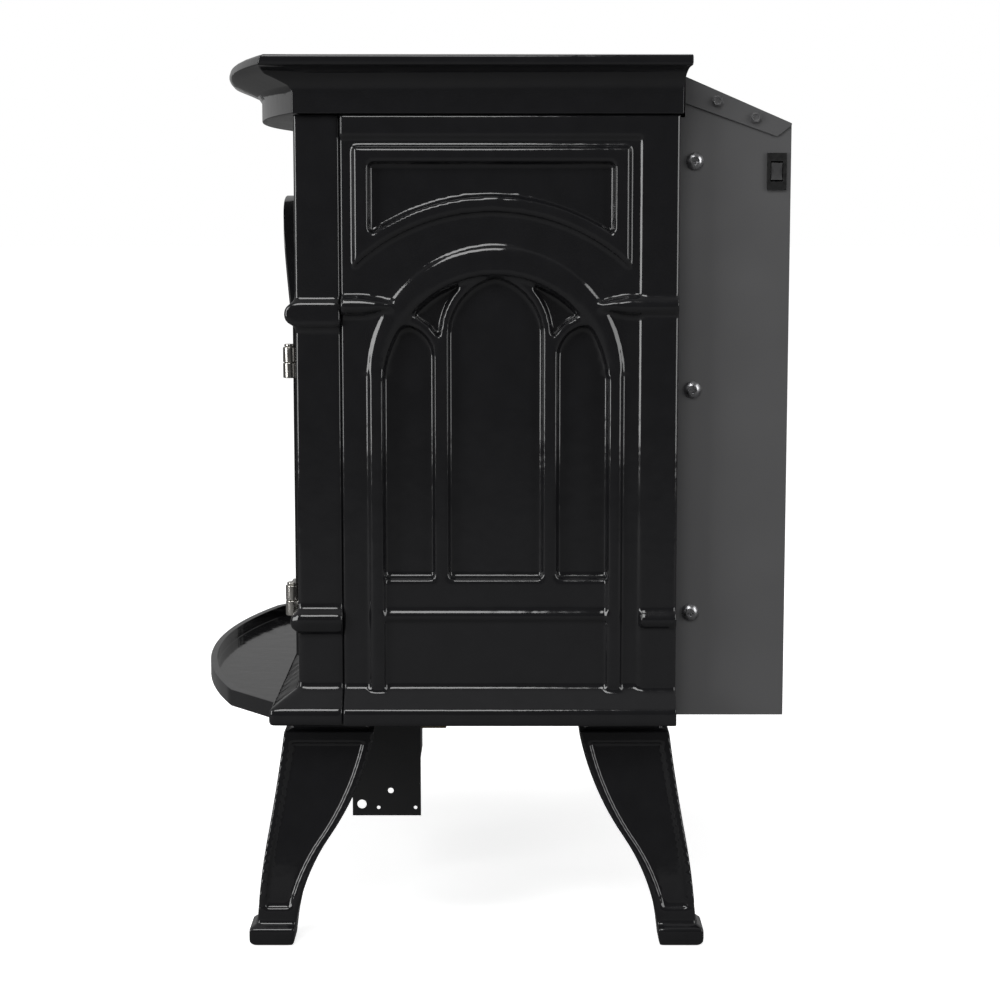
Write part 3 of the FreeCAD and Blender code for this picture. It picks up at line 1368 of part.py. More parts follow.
venturi.pad("z", FIRE_FLOOR, FIRE_FLOOR + " + burner_wall",
            ("circle", *VENTURI, "venturi_radius + venturi_collar"),
            ("circle", *VENTURI, "venturi_radius - burner_wall"))
keep(venturi, "venturi")
EMBER_SPAN = ("-burner_half", "pilot_side - ember_gap")
EMBER_LEVELS = (FIRE_FLOOR, FIRE_FLOOR + " + ember_high")
keep(box("ember_bed", EMBER_SPAN, ("burner_front - ember_deep", "burner_front"), EMBER_LEVELS), "ember_bed")

# Grate: bars from a front rail back over the burner
RAIL_Y = ("burner_front - ember_deep - 2 * bar_wide", "burner_front - ember_deep - bar_wide")
GRATE_TOP = BURNER_TOP + " + bar_wide"
bars = [box("grate_rail", both("burner_half"), RAIL_Y, (BURNER_TOP, GRATE_TOP))]
GRATE_END = 0.9
GRATE_MID = 0.5
for share in (-GRATE_END, -GRATE_MID, 0, GRATE_MID, GRATE_END):
    x = ("%s * burner_half - bar_wide / 2" % share, "%s * burner_half + bar_wide / 2" % share)
    bars.append(box("grate_bar", x, (RAIL_Y[0], "burner_front + burner_deep"), (BURNER_TOP, GRATE_TOP)))
    if abs(share) == GRATE_END:
        bars.append(box("grate_foot", x, RAIL_Y, (FIRE_FLOOR, GRATE_TOP)))
keep(fuse("grate", *bars), "grate")

# Logs: two in front, one behind and one resting on both
REAR_Z = "(%s + log_rear_radius + air_gap)" % GRATE_TOP
FRONT_Z = "(%s + log_front_radius + air_gap)" % GRATE_TOP
keep(rod("log_rear", "x", "log_rear_radius", "-log_half", "log_rear_back", REAR_Z, "2 * log_half",
         "log_rear_tip"), "log_rear")
for label, start in (("log_front_left", "-log_front_half"), ("log_front_right", "log_part")):
    keep(rod(label, "x", "log_front_radius", start, "log_front_back", FRONT_Z,
             "log_front_half - log_part"), label)
RUN = "(log_rear_back - log_front_back)"
DROP = "(log_rear_radius - log_front_radius)"
SPAN = "sqrt(%s^2 + %s^2)" % (RUN, DROP)
TO_REAR = "(log_rear_radius + log_top_radius + air_gap)"
TO_FRONT = "(log_front_radius + log_top_radius + air_gap)"
ALONG = "((%s^2 - %s^2 + %s^2) / (2 * %s))" % (TO_REAR, TO_FRONT, SPAN, SPAN)
RISE = "sqrt(%s^2 - %s^2)" % (TO_REAR, ALONG)
TOP_Y = "log_rear_back - (%s * %s + %s * %s) / %s" % (RUN, ALONG, DROP, RISE, SPAN)
TOP_Z = "%s + (%s * %s - %s * %s) / %s" % (REAR_Z, RUN, RISE, DROP, ALONG, SPAN)
keep(rod("log_top", "x", "log_top_radius", "-log_top_start", TOP_Y, TOP_Z, "log_top_long"), "log_top")

# Pilot: a small burner with its spark electrode and thermocouple beside the ember bed
PILOT_TOP = FIRE_FLOOR + " + pilot_high"
pilot = Piece("pilot_burner")
pilot.pad("z", FIRE_FLOOR, FIRE_FLOOR + " + burner_wall",
          rectangle(("pilot_side - pilot_half", "pilot_side + pilot_half"),
                    ("pilot_back - pilot_wide", "pilot_back + pilot_wide")),
          ("circle", "pilot_side - probe_apart", "pilot_back", "probe_radius + running_fit"),
          ("circle", "pilot_side + probe_apart", "pilot_back", "probe_radius + running_fit"))
pilot.pad("z", FIRE_FLOOR + " + burner_wall", PILOT_TOP, ("circle", *PILOT, "nozzle_radius"))
keep(pilot, "pilot_burner")
probes = []
for label, x, high in (("spark_electrode", "pilot_side - probe_apart", "pilot_high + spark_rise"),
                       ("thermocouple", "pilot_side + probe_apart", "pilot_high + thermo_rise")):
    probes.append(rod(label, "z", "probe_radius", x, "pilot_back", FIRE_FLOOR, high))
keep(group("pilot_probes", *probes), "pilot_probes")

# Gas valve on its bracket under the base
FRONT_PLATE = ("bracket_front", "bracket_front + sheet")
BRACKET_LEVELS = ("bracket_foot", "leg_height")
valve_bracket = Piece("valve_bracket")
valve_bracket.pad("x", "bracket_side", "bracket_side + sheet",
                  rectangle(("bracket_front", "bracket_front + bracket_deep"), BRACKET_LEVELS),
                  ("circle", "bracket_front + access_inset", "bracket_foot + access_rise", "access_radius"),
                  ("circle", "bracket_front + lead_hole_inset", "bracket_foot + lead_hole_rise",
                   "lead_hole_radius"),
                  ("circle", "bracket_front + rivet_inset", "bracket_foot + rivet_rise", "rivet_radius"),
                  ("circle", "bracket_front + rivet_end", "bracket_foot + rivet_rise", "rivet_radius"))
GAS_STEM = ("bracket_side - stem_inset - stem_apart", "valve_top - stem_drop")
FLAME_STEM = ("bracket_side - stem_inset", "valve_top - stem_drop")
IGNITER = ("bracket_side - stem_inset - stem_apart / 2", "igniter_level")
valve_bracket.pad("y", *FRONT_PLATE,
                  rectangle(("bracket_side - bracket_wide", "bracket_side + sheet"), BRACKET_LEVELS),
                  ("circle", *GAS_STEM, "stem_radius + pipe_gap"),
                  ("circle", *FLAME_STEM, "stem_radius + pipe_gap"),
                  ("circle", *IGNITER, "sleeve_radius + air_gap"))
valve_bracket.pad("z", "leg_height - sheet", "leg_height",
                  rectangle(("bracket_side - flange_wide", "bracket_side + sheet"),
                            ("bracket_front", "bracket_front + flange_wide")))
keep(valve_bracket, "valve_bracket")

VALVE_FRONT = "bracket_front + sheet"
VALVE_BACK = "bracket_front + sheet + valve_long"
INLET = ("bracket_side - valve_wide + inlet_inset", "valve_top - valve_high + inlet_rise")
valve = Piece("gas_valve")
valve.pad("y", VALVE_FRONT, VALVE_BACK,
          rectangle(("bracket_side - valve_wide", "bracket_side"), ("valve_top - valve_high", "valve_top")))
valve.pocket("y", VALVE_FRONT, VALVE_FRONT + " + stem_deep",
             ("circle", *GAS_STEM, "stem_radius + running_fit"),
             ("circle", *FLAME_STEM, "stem_radius + running_fit"))
PILOT_SEAT = "valve_top - pilot_seat"
valve.pocket("z", PILOT_SEAT, "valve_top", ("circle", *PILOT, "pilot_tube_radius + running_fit"))
keep(valve, "gas_valve")
PILOT_LONG = "%s - (%s)" % (FIRE_FLOOR, PILOT_SEAT)
keep(rod("pilot_tube", "z", "pilot_tube_radius", *PILOT, PILOT_SEAT, PILOT_LONG), "pilot_tube")

injector_elbow = box("injector_elbow",
                     ("venturi_side - injector_across / 2", "venturi_side + injector_across / 2"),
                     (VALVE_BACK, "venturi_back + injector_across / 2 + elbow_margin"),
                     ("valve_top - elbow_high", "valve_top"))
injector_body = hex_head("injector_hex", "z", "injector_across", *VENTURI, "valve_top", "injector_hex_high")
injector_nose = rod("injector_nose", "z", "injector_nose", *VENTURI, "valve_top + injector_hex_high",
                    "injector_high - injector_hex_high", "injector_tip")
keep(fuse("injector", injector_elbow, injector_body, injector_nose), "injector")
keep(rod("gas_regulator", "y", "regulator_radius", "bracket_side - regulator_inset", VALVE_BACK,
         "valve_top - regulator_drop", "regulator_long"), "gas_regulator")
inlet = Piece("inlet_fitting")
INLET_END = VALVE_BACK + " + inlet_long"
inlet.pad("y", VALVE_BACK, INLET_END, ("circle", *INLET, "inlet_radius + inlet_wall"))
inlet.pocket("y", VALVE_BACK + " + inlet_wall", INLET_END, ("circle", *INLET, "inlet_radius"))
keep(inlet, "inlet_fitting")


# Knobs turn on stems in the valve, the igniter slides in its sleeve
def knob(name, spot):
    """A ribbed knob on its stem."""
    keep(rod(name + "_stem", "y", "stem_radius", spot[0], "bracket_front - stem_out", spot[1],
             "stem_out + sheet + stem_deep - air_gap"), name + "_stem")
    face = "bracket_front - stem_out - knob_high + stem_hold"
    head = Piece(name)
    head.pad("y", face, face + " + knob_high", ("circle", *spot, "knob_radius"))
    grip = rectangle(("%s - grip_half" % spot[0], "%s + grip_half" % spot[0]),
                     ("%s - grip_reach" % spot[1], "%s + grip_reach" % spot[1]))
    head.pad("y", face + " - knob_grip", face, grip)
    head.pocket("y", "bracket_front - stem_out", face + " + knob_high", ("circle", *spot, "stem_radius"))
    keep(head, name)


knob("gas_knob", GAS_STEM)
knob("flame_knob", FLAME_STEM)
SLEEVE_FRONT = "bracket_front - sleeve_lip"
sleeve = Piece("igniter_sleeve")
sleeve.pad("y", SLEEVE_FRONT, SLEEVE_FRONT + " + sleeve_long", ("circle", *IGNITER, "sleeve_radius"))
sleeve.pad("y", SLEEVE_FRONT, "bracket_front", ("circle", *IGNITER, "sleeve_radius + sleeve_lip"))
sleeve.pocket("y", SLEEVE_FRONT, SLEEVE_FRONT + " + sleeve_long - sleeve_end",
              ("circle", *IGNITER, "button_radius + running_fit"))
keep(sleeve, "igniter_sleeve")
BUTTON_FACE = SLEEVE_FRONT + " - button_travel - button_cap"
keep(rod("igniter_button", "y", "button_radius", IGNITER[0], BUTTON_FACE, IGNITER[1],
         "button_travel + button_cap + button_hold"), "igniter_button")


# Every object has to be sound before anything is written
doc.recompute()
for thing in doc.Objects:
    if "Invalid" in thing.State or "Error" in thing.State:
        raise RuntimeError("%s failed: %s" % (thing.Label, thing.State))
for node in NODES:
    if node.Shape.isNull() or not node.Shape.isValid():
        raise RuntimeError("%s has no sound shape" % node.Label)

os.makedirs("parts", exist_ok=True)
for node in NODES:
    node.Shape.exportStep("parts/%s.step" % node.Label)
    print(node.Label, len(node.Shape.Solids), round(node.Shape.Volume))
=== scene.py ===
# %% [markdown]
# # A cast-iron gas stove in black enamel
#
# The stove comes from the construction model as a fixed frame of separate pieces, in metres.
# This lesson dresses it: rounded castings under glass-like enamel, satin painted sheet steel
# behind, nickel hinges, plated screws, a glazed door and a set of ceramic logs.

# %% Load the frame
import json
import math

import bmesh
import bpy
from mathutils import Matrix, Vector


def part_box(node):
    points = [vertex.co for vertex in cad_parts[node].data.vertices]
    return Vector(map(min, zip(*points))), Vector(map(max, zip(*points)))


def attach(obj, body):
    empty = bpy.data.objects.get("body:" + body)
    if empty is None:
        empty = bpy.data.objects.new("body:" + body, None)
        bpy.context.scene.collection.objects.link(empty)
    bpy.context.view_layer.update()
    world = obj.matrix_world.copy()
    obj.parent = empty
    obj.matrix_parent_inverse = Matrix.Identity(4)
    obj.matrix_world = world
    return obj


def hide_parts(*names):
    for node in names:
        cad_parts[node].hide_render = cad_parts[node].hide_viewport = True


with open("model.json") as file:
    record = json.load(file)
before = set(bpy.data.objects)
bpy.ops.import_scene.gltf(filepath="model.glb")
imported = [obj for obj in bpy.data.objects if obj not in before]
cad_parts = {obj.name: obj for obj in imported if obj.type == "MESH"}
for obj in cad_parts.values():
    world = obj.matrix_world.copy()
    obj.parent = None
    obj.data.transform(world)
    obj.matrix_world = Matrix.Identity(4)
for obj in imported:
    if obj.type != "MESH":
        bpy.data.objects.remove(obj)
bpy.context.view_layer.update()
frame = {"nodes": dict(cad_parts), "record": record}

NODES = frame["nodes"]
BODY_OF = {node: body for body, names in frame["record"]["behaviour"]["bodies"].items() for node in names}
SLOT_OF = {entry["node"]: entry["material_slot"] for entry in frame["record"]["subparts"]}
MM = 0.001

# %% [markdown]
# ## The camera
#
# The picture looks straight at the right-hand side of the stove from a little above.
# A camera is a lens, a place and a tilt. The lens is given for a 36 mm sensor.

# %% Camera
CAMERA_PLACE = (2.040, 0.0163, 0.5784)
CAMERA_TILT = math.radians(7.3)
CAMERA_LENS = 82.8
CAMERA_SENSOR = 36.0
QUARTER_TURN = math.radians(90)

scene = bpy.context.scene
camera_data = bpy.data.cameras.new("camera")
camera_data.lens = CAMERA_LENS
camera_data.sensor_width = CAMERA_SENSOR
camera = bpy.data.objects.new("camera", camera_data)
camera.location = CAMERA_PLACE
camera.rotation_euler = (QUARTER_TURN - CAMERA_TILT, 0.0, QUARTER_TURN)
scene.collection.objects.link(camera)
scene.camera = camera
print("camera at", CAMERA_PLACE)

# %% [markdown]
# ## The studio
#
# Black enamel has hardly any colour of its own, so its look is what it mirrors. A pale room
# lies behind the stove, and the room behind the camera is dim, so that the flat faces stay
# black while every rounded edge picks up a bright line from a softbox. The floor is white
# paper to the camera and through glass, and a dull grey to all other light.

# %% Studio floor, world and lamps
WHITE = (1, 1, 1, 1)
ROOM_FELT = 0.42                 # how strongly the room lights matt surfaces
ROOM_BEHIND_CAMERA = 0.06        # how bright it is in mirrors, on the camera's side
ROOM_BEHIND_STOVE = 0.26         # and on the far side
ROOM_DIM_FROM = 0.75             # the dim side starts here, as a direction's part along X
ROOM_PALE_FROM = 0.1             # and the pale side here
FLOOR_SIZE = 60.0
PAPER_SEEN = (0.86, 0.86, 0.86, 1)
PAPER_MIRRORED = (0.16, 0.16, 0.16, 1)
PAPER_GLOW = 0.72

# Each lamp has a place, a target, a width, a height and a power in watts.
LAMPS = {
    "overhead": ((-0.9, 0.0, 2.4), (0.1, 0.0, 0.5), 0.7, 2.2, 16),
    "front_strip": ((1.3, -1.9, 1.0), (0.25, -0.1, 0.4), 0.8, 1.8, 26),
    "high_key": ((2.3, -0.5, 2.6), (0.3, 0.0, 0.45), 1.3, 1.1, 26),
    "rear_strip": ((1.3, 1.9, 1.0), (0.25, 0.1, 0.4), 0.8, 1.8, 16),
}
scene.view_settings.view_transform = "Standard"


def new_material(name):
    """An empty node material with its output."""
    material = bpy.data.materials.new(name)
    material.use_nodes = True
    nodes = material.node_tree.nodes
    nodes.clear()
    output = nodes.new("ShaderNodeOutputMaterial")
    return material, nodes, material.node_tree.links, output


def seen_directly(nodes, links, path):
    """A value that is 1 for rays from the camera and rays through glass, and 0 for all others."""
    seen = nodes.new("ShaderNodeMath")
    seen.operation = "MAXIMUM"
    links.new(path.outputs["Is Camera Ray"], seen.inputs[0])
    links.new(path.outputs["Is Transmission Ray"], seen.inputs[1])
    return seen.outputs[0]


def white_background(nodes, strength=1.0):
    """A white background of a given strength."""
    background = nodes.new("ShaderNodeBackground")
    background.inputs["Color"].default_value = WHITE
    background.inputs["Strength"].default_value = strength
    return background


def pale_room():
    """White to the camera and in glass, pale behind the stove and dim behind the camera."""
    world = bpy.data.worlds.new("pale_room")
    world.use_nodes = True
    scene.world = world
    nodes, links = world.node_tree.nodes, world.node_tree.links
    nodes.clear()
    output = nodes.new("ShaderNodeOutputWorld")
    seen = white_background(nodes)
    felt = white_background(nodes, ROOM_FELT)
    mirrored = white_background(nodes)
    where = nodes.new("ShaderNodeTexCoord")
    split = nodes.new("ShaderNodeSeparateXYZ")
    links.new(where.outputs["Generated"], split.inputs[0])
    dim = nodes.new("ShaderNodeMapRange")
    dim.inputs["From Min"].default_value = ROOM_DIM_FROM
    dim.inputs["From Max"].default_value = ROOM_PALE_FROM
    dim.inputs["To Min"].default_value = ROOM_BEHIND_CAMERA
    dim.inputs["To Max"].default_value = ROOM_BEHIND_STOVE
    dim.interpolation_type = "SMOOTHSTEP"
    links.new(split.outputs["X"], dim.inputs["Value"])
    links.new(dim.outputs["Result"], mirrored.inputs["Strength"])
    path = nodes.new("ShaderNodeLightPath")
    gloss = nodes.new("ShaderNodeMixShader")
    links.new(path.outputs["Is Glossy Ray"], gloss.inputs[0])
    links.new(felt.outputs[0], gloss.inputs[1])
    links.new(mirrored.outputs[0], gloss.inputs[2])
    mix = nodes.new("ShaderNodeMixShader")
    links.new(seen_directly(nodes, links, path), mix.inputs[0])
    links.new(gloss.outputs[0], mix.inputs[1])
    links.new(seen.outputs[0], mix.inputs[2])
    links.new(mix.outputs[0], output.inputs["Surface"])


def pale_floor():
    """A wide pale floor that lifts towards white for the camera and keeps the shadow."""
    bpy.ops.object.select_all(action="DESELECT")
    bpy.ops.mesh.primitive_plane_add(size=FLOOR_SIZE, location=(0, 0, 0))
    floor = bpy.context.object
    floor.name = "floor"
    material, nodes, links, output = new_material("floor_paper")
    path = nodes.new("ShaderNodeLightPath")
    seen = seen_directly(nodes, links, path)
    shade = nodes.new("ShaderNodeMix")
    shade.data_type = "RGBA"
    shade.inputs["A"].default_value = PAPER_MIRRORED
    shade.inputs["B"].default_value = PAPER_SEEN
    links.new(seen, shade.inputs["Factor"])
    paper = nodes.new("ShaderNodeBsdfDiffuse")
    links.new(shade.outputs["Result"], paper.inputs["Color"])
    glow = nodes.new("ShaderNodeEmission")
    glow.inputs["Color"].default_value = WHITE
    amount = nodes.new("ShaderNodeMath")
    amount.operation = "MULTIPLY"
    amount.inputs[1].default_value = PAPER_GLOW
    links.new(seen, amount.inputs[0])
    links.new(amount.outputs[0], glow.inputs["Strength"])
    both = nodes.new("ShaderNodeAddShader")
    links.new(paper.outputs[0], both.inputs[0])
    links.new(glow.outputs[0], both.inputs[1])
    links.new(both.outputs[0], output.inputs["Surface"])
    floor.data.materials.append(material)


def softbox(name, place, target, width, height, power):
    """A soft rectangular lamp at a place, turned towards a target."""
    data = bpy.data.lights.new(name, "AREA")
    data.shape = "RECTANGLE"
    data.size = width
    data.size_y = height
    data.energy = power
    lamp = bpy.data.objects.new(name, data)
    lamp.location = place
    lamp.rotation_euler = (Vector(target) - Vector(place)).to_track_quat("-Z", "Y").to_euler()
    scene.collection.objects.link(lamp)


pale_room()
pale_floor()
for lamp_name, lamp_setup in LAMPS.items():
    softbox(lamp_name, *lamp_setup)
print("lamps:", list(LAMPS))

# %% [markdown]
# ## Shared finish: a surface that is never quite even
#
# Castings ripple, paint is grainy and plating is a little cloudy. One node group makes an
# uneven height and an uneven mask from noise, and each material uses it at its own scale.

# %% Node group for uneven surfaces
def uneven_group():
    """A node group that mixes a slow ripple and a fine grain into a height, with the ripple as a mask."""
    group = bpy.data.node_groups.new("uneven_surface", "ShaderNodeTree")
    face = group.interface
    face.new_socket("Vector", in_out="INPUT", socket_type="NodeSocketVector")
    for name in ("Ripple Scale", "Grain Scale", "Grain Share"):
        face.new_socket(name, in_out="INPUT", socket_type="NodeSocketFloat")
    face.new_socket("Height", in_out="OUTPUT", socket_type="NodeSocketFloat")
    face.new_socket("Mask", in_out="OUTPUT", socket_type="NodeSocketFloat")
    nodes, links = group.nodes, group.links
    entry = nodes.new("NodeGroupInput")
    leave = nodes.new("NodeGroupOutput")
    ripple = nodes.new("ShaderNodeTexNoise")
    ripple.inputs["Detail"].default_value = 2.0
    grain = nodes.new("ShaderNodeTexNoise")
    grain.inputs["Detail"].default_value = 3.0
    for noise, scale in ((ripple, "Ripple Scale"), (grain, "Grain Scale")):
        links.new(entry.outputs["Vector"], noise.inputs["Vector"])
        links.new(entry.outputs[scale], noise.inputs["Scale"])
    mix = nodes.new("ShaderNodeMix")
    links.new(entry.outputs["Grain Share"], mix.inputs["Factor"])
    links.new(ripple.outputs["Fac"], mix.inputs["A"])
    links.new(grain.outputs["Fac"], mix.inputs["B"])
    links.new(mix.outputs["Result"], leave.inputs["Height"])
    links.new(ripple.outputs["Fac"], leave.inputs["Mask"])
    return group


UNEVEN = uneven_group()
COAT_ROUGH = 0.05
MASK_RANGE = (0.3, 0.7)          # noise seldom leaves this range


def uneven_finish(name, colour, rough, metal=0.0, ripple=60.0, grain=900.0, share=0.2,
                  bump=0.0004, tint=0.25, rough_swing=0.3, coat=0.0):
    """A Principled material whose colour, roughness and relief vary with the uneven surface group."""
    material, nodes, links, output = new_material(name)
    shader = nodes.new("ShaderNodeBsdfPrincipled")
    links.new(shader.outputs[0], output.inputs["Surface"])
    shader.inputs["Metallic"].default_value = metal
    shader.inputs["Coat Weight"].default_value = coat
    shader.inputs["Coat Roughness"].default_value = COAT_ROUGH
    where = nodes.new("ShaderNodeTexCoord")
    uneven = nodes.new("ShaderNodeGroup")
    uneven.node_tree = UNEVEN
    uneven.inputs["Ripple Scale"].default_value = ripple
    uneven.inputs["Grain Scale"].default_value = grain
    uneven.inputs["Grain Share"].default_value = share
    links.new(where.outputs["Object"], uneven.inputs["Vector"])
    shade = nodes.new("ShaderNodeMapRange")
    shade.inputs["From Min"].default_value = MASK_RANGE[0]
    shade.inputs["From Max"].default_value = MASK_RANGE[1]
    shade.inputs["To Min"].default_value = rough * (1 - rough_swing)
    shade.inputs["To Max"].default_value = rough * (1 + rough_swing)
    links.new(uneven.outputs["Mask"], shade.inputs["Value"])
    links.new(shade.outputs["Result"], shader.inputs["Roughness"])
    dark = [channel * (1 - tint) for channel in colour]
    light = [min(1.0, channel * (1 + tint)) for channel in colour]
    ramp = nodes.new("ShaderNodeMix")
    ramp.data_type = "RGBA"
    ramp.inputs["A"].default_value = (*dark, 1)
    ramp.inputs["B"].default_value = (*light, 1)
    links.new(uneven.outputs["Height"], ramp.inputs["Factor"])
    links.new(ramp.outputs["Result"], shader.inputs["Base Color"])
    relief = nodes.new("ShaderNodeBump")
    relief.inputs["Distance"].default_value = bump
    relief.inputs["Strength"].default_value = 1.0
    links.new(uneven.outputs["Height"], relief.inputs["Height"])
    links.new(relief.outputs["Normal"], shader.inputs["Normal"])
    return material


# %% [markdown]
# ## The finishes
#
# Each material of the stove but glass and bark comes from the same maker, with its own colour,
# gloss and relief: glassy enamel with a slow ripple, powder paint with a fine grain, plated
# steel, nickel, moulded plastic, brass and fibre board. The scales are per metre and the
# bumps in metres. The last three are for single pieces that differ from the rest of their slot:
# the rocker's plastic is lighter as painted light on its lit face, the valve bracket's grey
# paint is darker as painted shade under the stove, and the hood screws are a duller zinc.

# %% Finishes
RECIPES = {
    "black_enamel": dict(colour=(0.009, 0.009, 0.010), rough=0.09, ripple=60.0, grain=300.0,
                         share=0.02, bump=0.00028, tint=0.2, rough_swing=0.35, coat=0.3),
    "bare_iron": dict(colour=(0.030, 0.030, 0.032), rough=0.55, ripple=120.0, grain=1500.0,
                      share=0.5, bump=0.0003),
    "grey_paint": dict(colour=(0.090, 0.090, 0.092), rough=0.42, ripple=14.0, grain=1800.0,
                       share=0.35, bump=0.00012, tint=0.12, rough_swing=0.15),
    "bright_screw": dict(colour=(0.36, 0.36, 0.37), rough=0.3, metal=1.0, ripple=300.0, grain=2500.0,
                         share=0.5, bump=0.00005),
    "nickel": dict(colour=(0.66, 0.64, 0.60), rough=0.18, metal=1.0, ripple=160.0, grain=2500.0,
                   share=0.3, bump=0.00004, tint=0.1),
    "black_plastic": dict(colour=(0.014, 0.014, 0.014), rough=0.34, ripple=300.0, grain=3000.0,
                          share=0.6, bump=0.00005),
    "rubber": dict(colour=(0.028, 0.028, 0.028), rough=0.7, ripple=400.0, grain=2200.0,
                   share=0.5, bump=0.00008),
    "sheet_steel": dict(colour=(0.30, 0.30, 0.31), rough=0.42, metal=1.0, ripple=40.0, grain=1600.0,
                        share=0.4, bump=0.00006),
    "motor": dict(colour=(0.05, 0.05, 0.052), rough=0.45, ripple=90.0, grain=1600.0,
                  share=0.4, bump=0.0001),
    "valve_alloy": dict(colour=(0.46, 0.46, 0.47), rough=0.5, metal=1.0, ripple=160.0, grain=1300.0,
                        share=0.6, bump=0.0001),
    "brass": dict(colour=(0.60, 0.43, 0.16), rough=0.28, metal=1.0, ripple=200.0, grain=2400.0,
                  share=0.3, bump=0.00004),
    "fibre_board": dict(colour=(0.16, 0.14, 0.12), rough=0.9, ripple=45.0, grain=700.0,
                        share=0.5, bump=0.0012, tint=0.45),
    "probe_ceramic": dict(colour=(0.72, 0.70, 0.66), rough=0.35, ripple=300.0, grain=2000.0,
                          share=0.5, bump=0.00004),
    "fibre_rope": dict(colour=(0.07, 0.07, 0.07), rough=0.95, ripple=420.0, grain=1800.0,
                       share=0.4, bump=0.0012, tint=0.5),
    # A lighter copy of black_plastic: painted light on the switch rocker's lit face.
    "rocker_plastic_painted_light": dict(colour=(0.055, 0.055, 0.056), rough=0.22, ripple=300.0, grain=3000.0,
                           share=0.6, bump=0.00003),
    # A darker copy of grey_paint: painted shade for the valve bracket under the stove.
    "grey_paint_painted_shade": dict(colour=(0.020, 0.020, 0.021), rough=0.5, ripple=14.0, grain=1800.0,
                          share=0.35, bump=0.00012, tint=0.12, rough_swing=0.15),
    "dull_zinc": dict(colour=(0.13, 0.13, 0.133), rough=0.45, metal=0.6, ripple=300.0, grain=2500.0,
                      share=0.5, bump=0.00005),
}
FINISH = {name: uneven_finish(name, **recipe) for name, recipe in RECIPES.items()}
# The rocker's lighter plastic is painted light, and the bracket's darker paint is painted shade.
OWN_FINISH = {"fan_rocker": "rocker_plastic_painted_light", "valve_bracket": "grey_paint_painted_shade", "hood_screws": "dull_zinc"}
print("finishes:", sorted(FINISH))

# %% [markdown]
# ## Glass and bark
#
# The door's glass is a thin pane of clear, faintly smoky glass ceramic, so it is a plain
# transmission shader. The logs are cast ceramic with painted bark: the colour follows long
# streaks along the log, and pale ash lies on it in patches.

# %% Materials of their own: glass and bark
GLASS_COLOUR = (0.78, 0.78, 0.76, 1)
BARK_DARK = (0.035, 0.022, 0.014, 1)
BARK_LIGHT = (0.30, 0.20, 0.12, 1)
ASH_COLOUR = (0.42, 0.39, 0.35, 1)
BARK_RANGE = (0.34, 0.66)        # from the darkest to the lightest bark, in the noise of the streaks
ASH_RANGE = (0.55, 0.72)         # from no ash to full ash, in the noise of the patches
STREAK_SCALE = 190.0
STREAK_STRETCH = (0.18, 1.0, 1.0)
PATCH_SCALE = 38.0
BARK_BUMP = 2.5 * MM


def pane_glass():
    """Clear glass with a faint smoky tint."""
    material, nodes, links, output = new_material("pane_glass")
    shader = nodes.new("ShaderNodeBsdfPrincipled")
    shader.inputs["Base Color"].default_value = GLASS_COLOUR
    shader.inputs["Roughness"].default_value = 0.03
    shader.inputs["Transmission Weight"].default_value = 1.0
    shader.inputs["IOR"].default_value = 1.5
    links.new(shader.outputs[0], output.inputs["Surface"])
    return material


def bark():
    """Brown bark, streaked along X, with patches of ash."""
    material, nodes, links, output = new_material("painted_bark")
    shader = nodes.new("ShaderNodeBsdfPrincipled")
    links.new(shader.outputs[0], output.inputs["Surface"])
    shader.inputs["Roughness"].default_value = 0.9
    where = nodes.new("ShaderNodeTexCoord")
    stretch = nodes.new("ShaderNodeMapping")
    stretch.inputs["Scale"].default_value = STREAK_STRETCH
    links.new(where.outputs["Object"], stretch.inputs["Vector"])
    streaks = nodes.new("ShaderNodeTexNoise")
    streaks.inputs["Scale"].default_value = STREAK_SCALE
    streaks.inputs["Detail"].default_value = 6.0
    links.new(stretch.outputs[0], streaks.inputs["Vector"])
    patches = nodes.new("ShaderNodeTexNoise")
    patches.inputs["Scale"].default_value = PATCH_SCALE
    patches.inputs["Detail"].default_value = 3.0
    links.new(where.outputs["Object"], patches.inputs["Vector"])
    wood = nodes.new("ShaderNodeValToRGB")
    dark, light = wood.color_ramp.elements
    dark.position = BARK_RANGE[0]
    dark.color = BARK_DARK
    light.position = BARK_RANGE[1]
    light.color = BARK_LIGHT
    links.new(streaks.outputs["Fac"], wood.inputs["Fac"])
    ash = nodes.new("ShaderNodeMapRange")
    ash.inputs["From Min"].default_value = ASH_RANGE[0]
    ash.inputs["From Max"].default_value = ASH_RANGE[1]
    links.new(patches.outputs["Fac"], ash.inputs["Value"])
    dusted = nodes.new("ShaderNodeMix")
    dusted.data_type = "RGBA"
    dusted.inputs["B"].default_value = ASH_COLOUR
    links.new(ash.outputs["Result"], dusted.inputs["Factor"])
    links.new(wood.outputs["Color"], dusted.inputs["A"])
    links.new(dusted.outputs["Result"], shader.inputs["Base Color"])
    relief = nodes.new("ShaderNodeBump")
    relief.inputs["Distance"].default_value = BARK_BUMP
    links.new(streaks.outputs["Fac"], relief.inputs["Height"])
    links.new(relief.outputs["Normal"], shader.inputs["Normal"])
    return material


FINISH["glass"] = pane_glass()
FINISH["log_ceramic"] = bark()
print("glass and bark ready")

# %% [markdown]
# ## Dressing the frame
#
# Each piece of the frame first takes its own finish, or else that of its slot. Shapes that
# are right as they are stay. Where the real piece is softer than a machined solid, a copy of
# its mesh is worked on and stands in for it, in the same place and on the same moving body.

# %% Give every piece its finish
def finish_of(node):
    """The finish that a piece has of its own, or else that of its slot."""
    return FINISH[OWN_FINISH.get(node, SLOT_OF[node])]


for node, piece in NODES.items():
    for slot in piece.material_slots:
        slot.material = finish_of(node)
print("dressed pieces:", len(NODES))

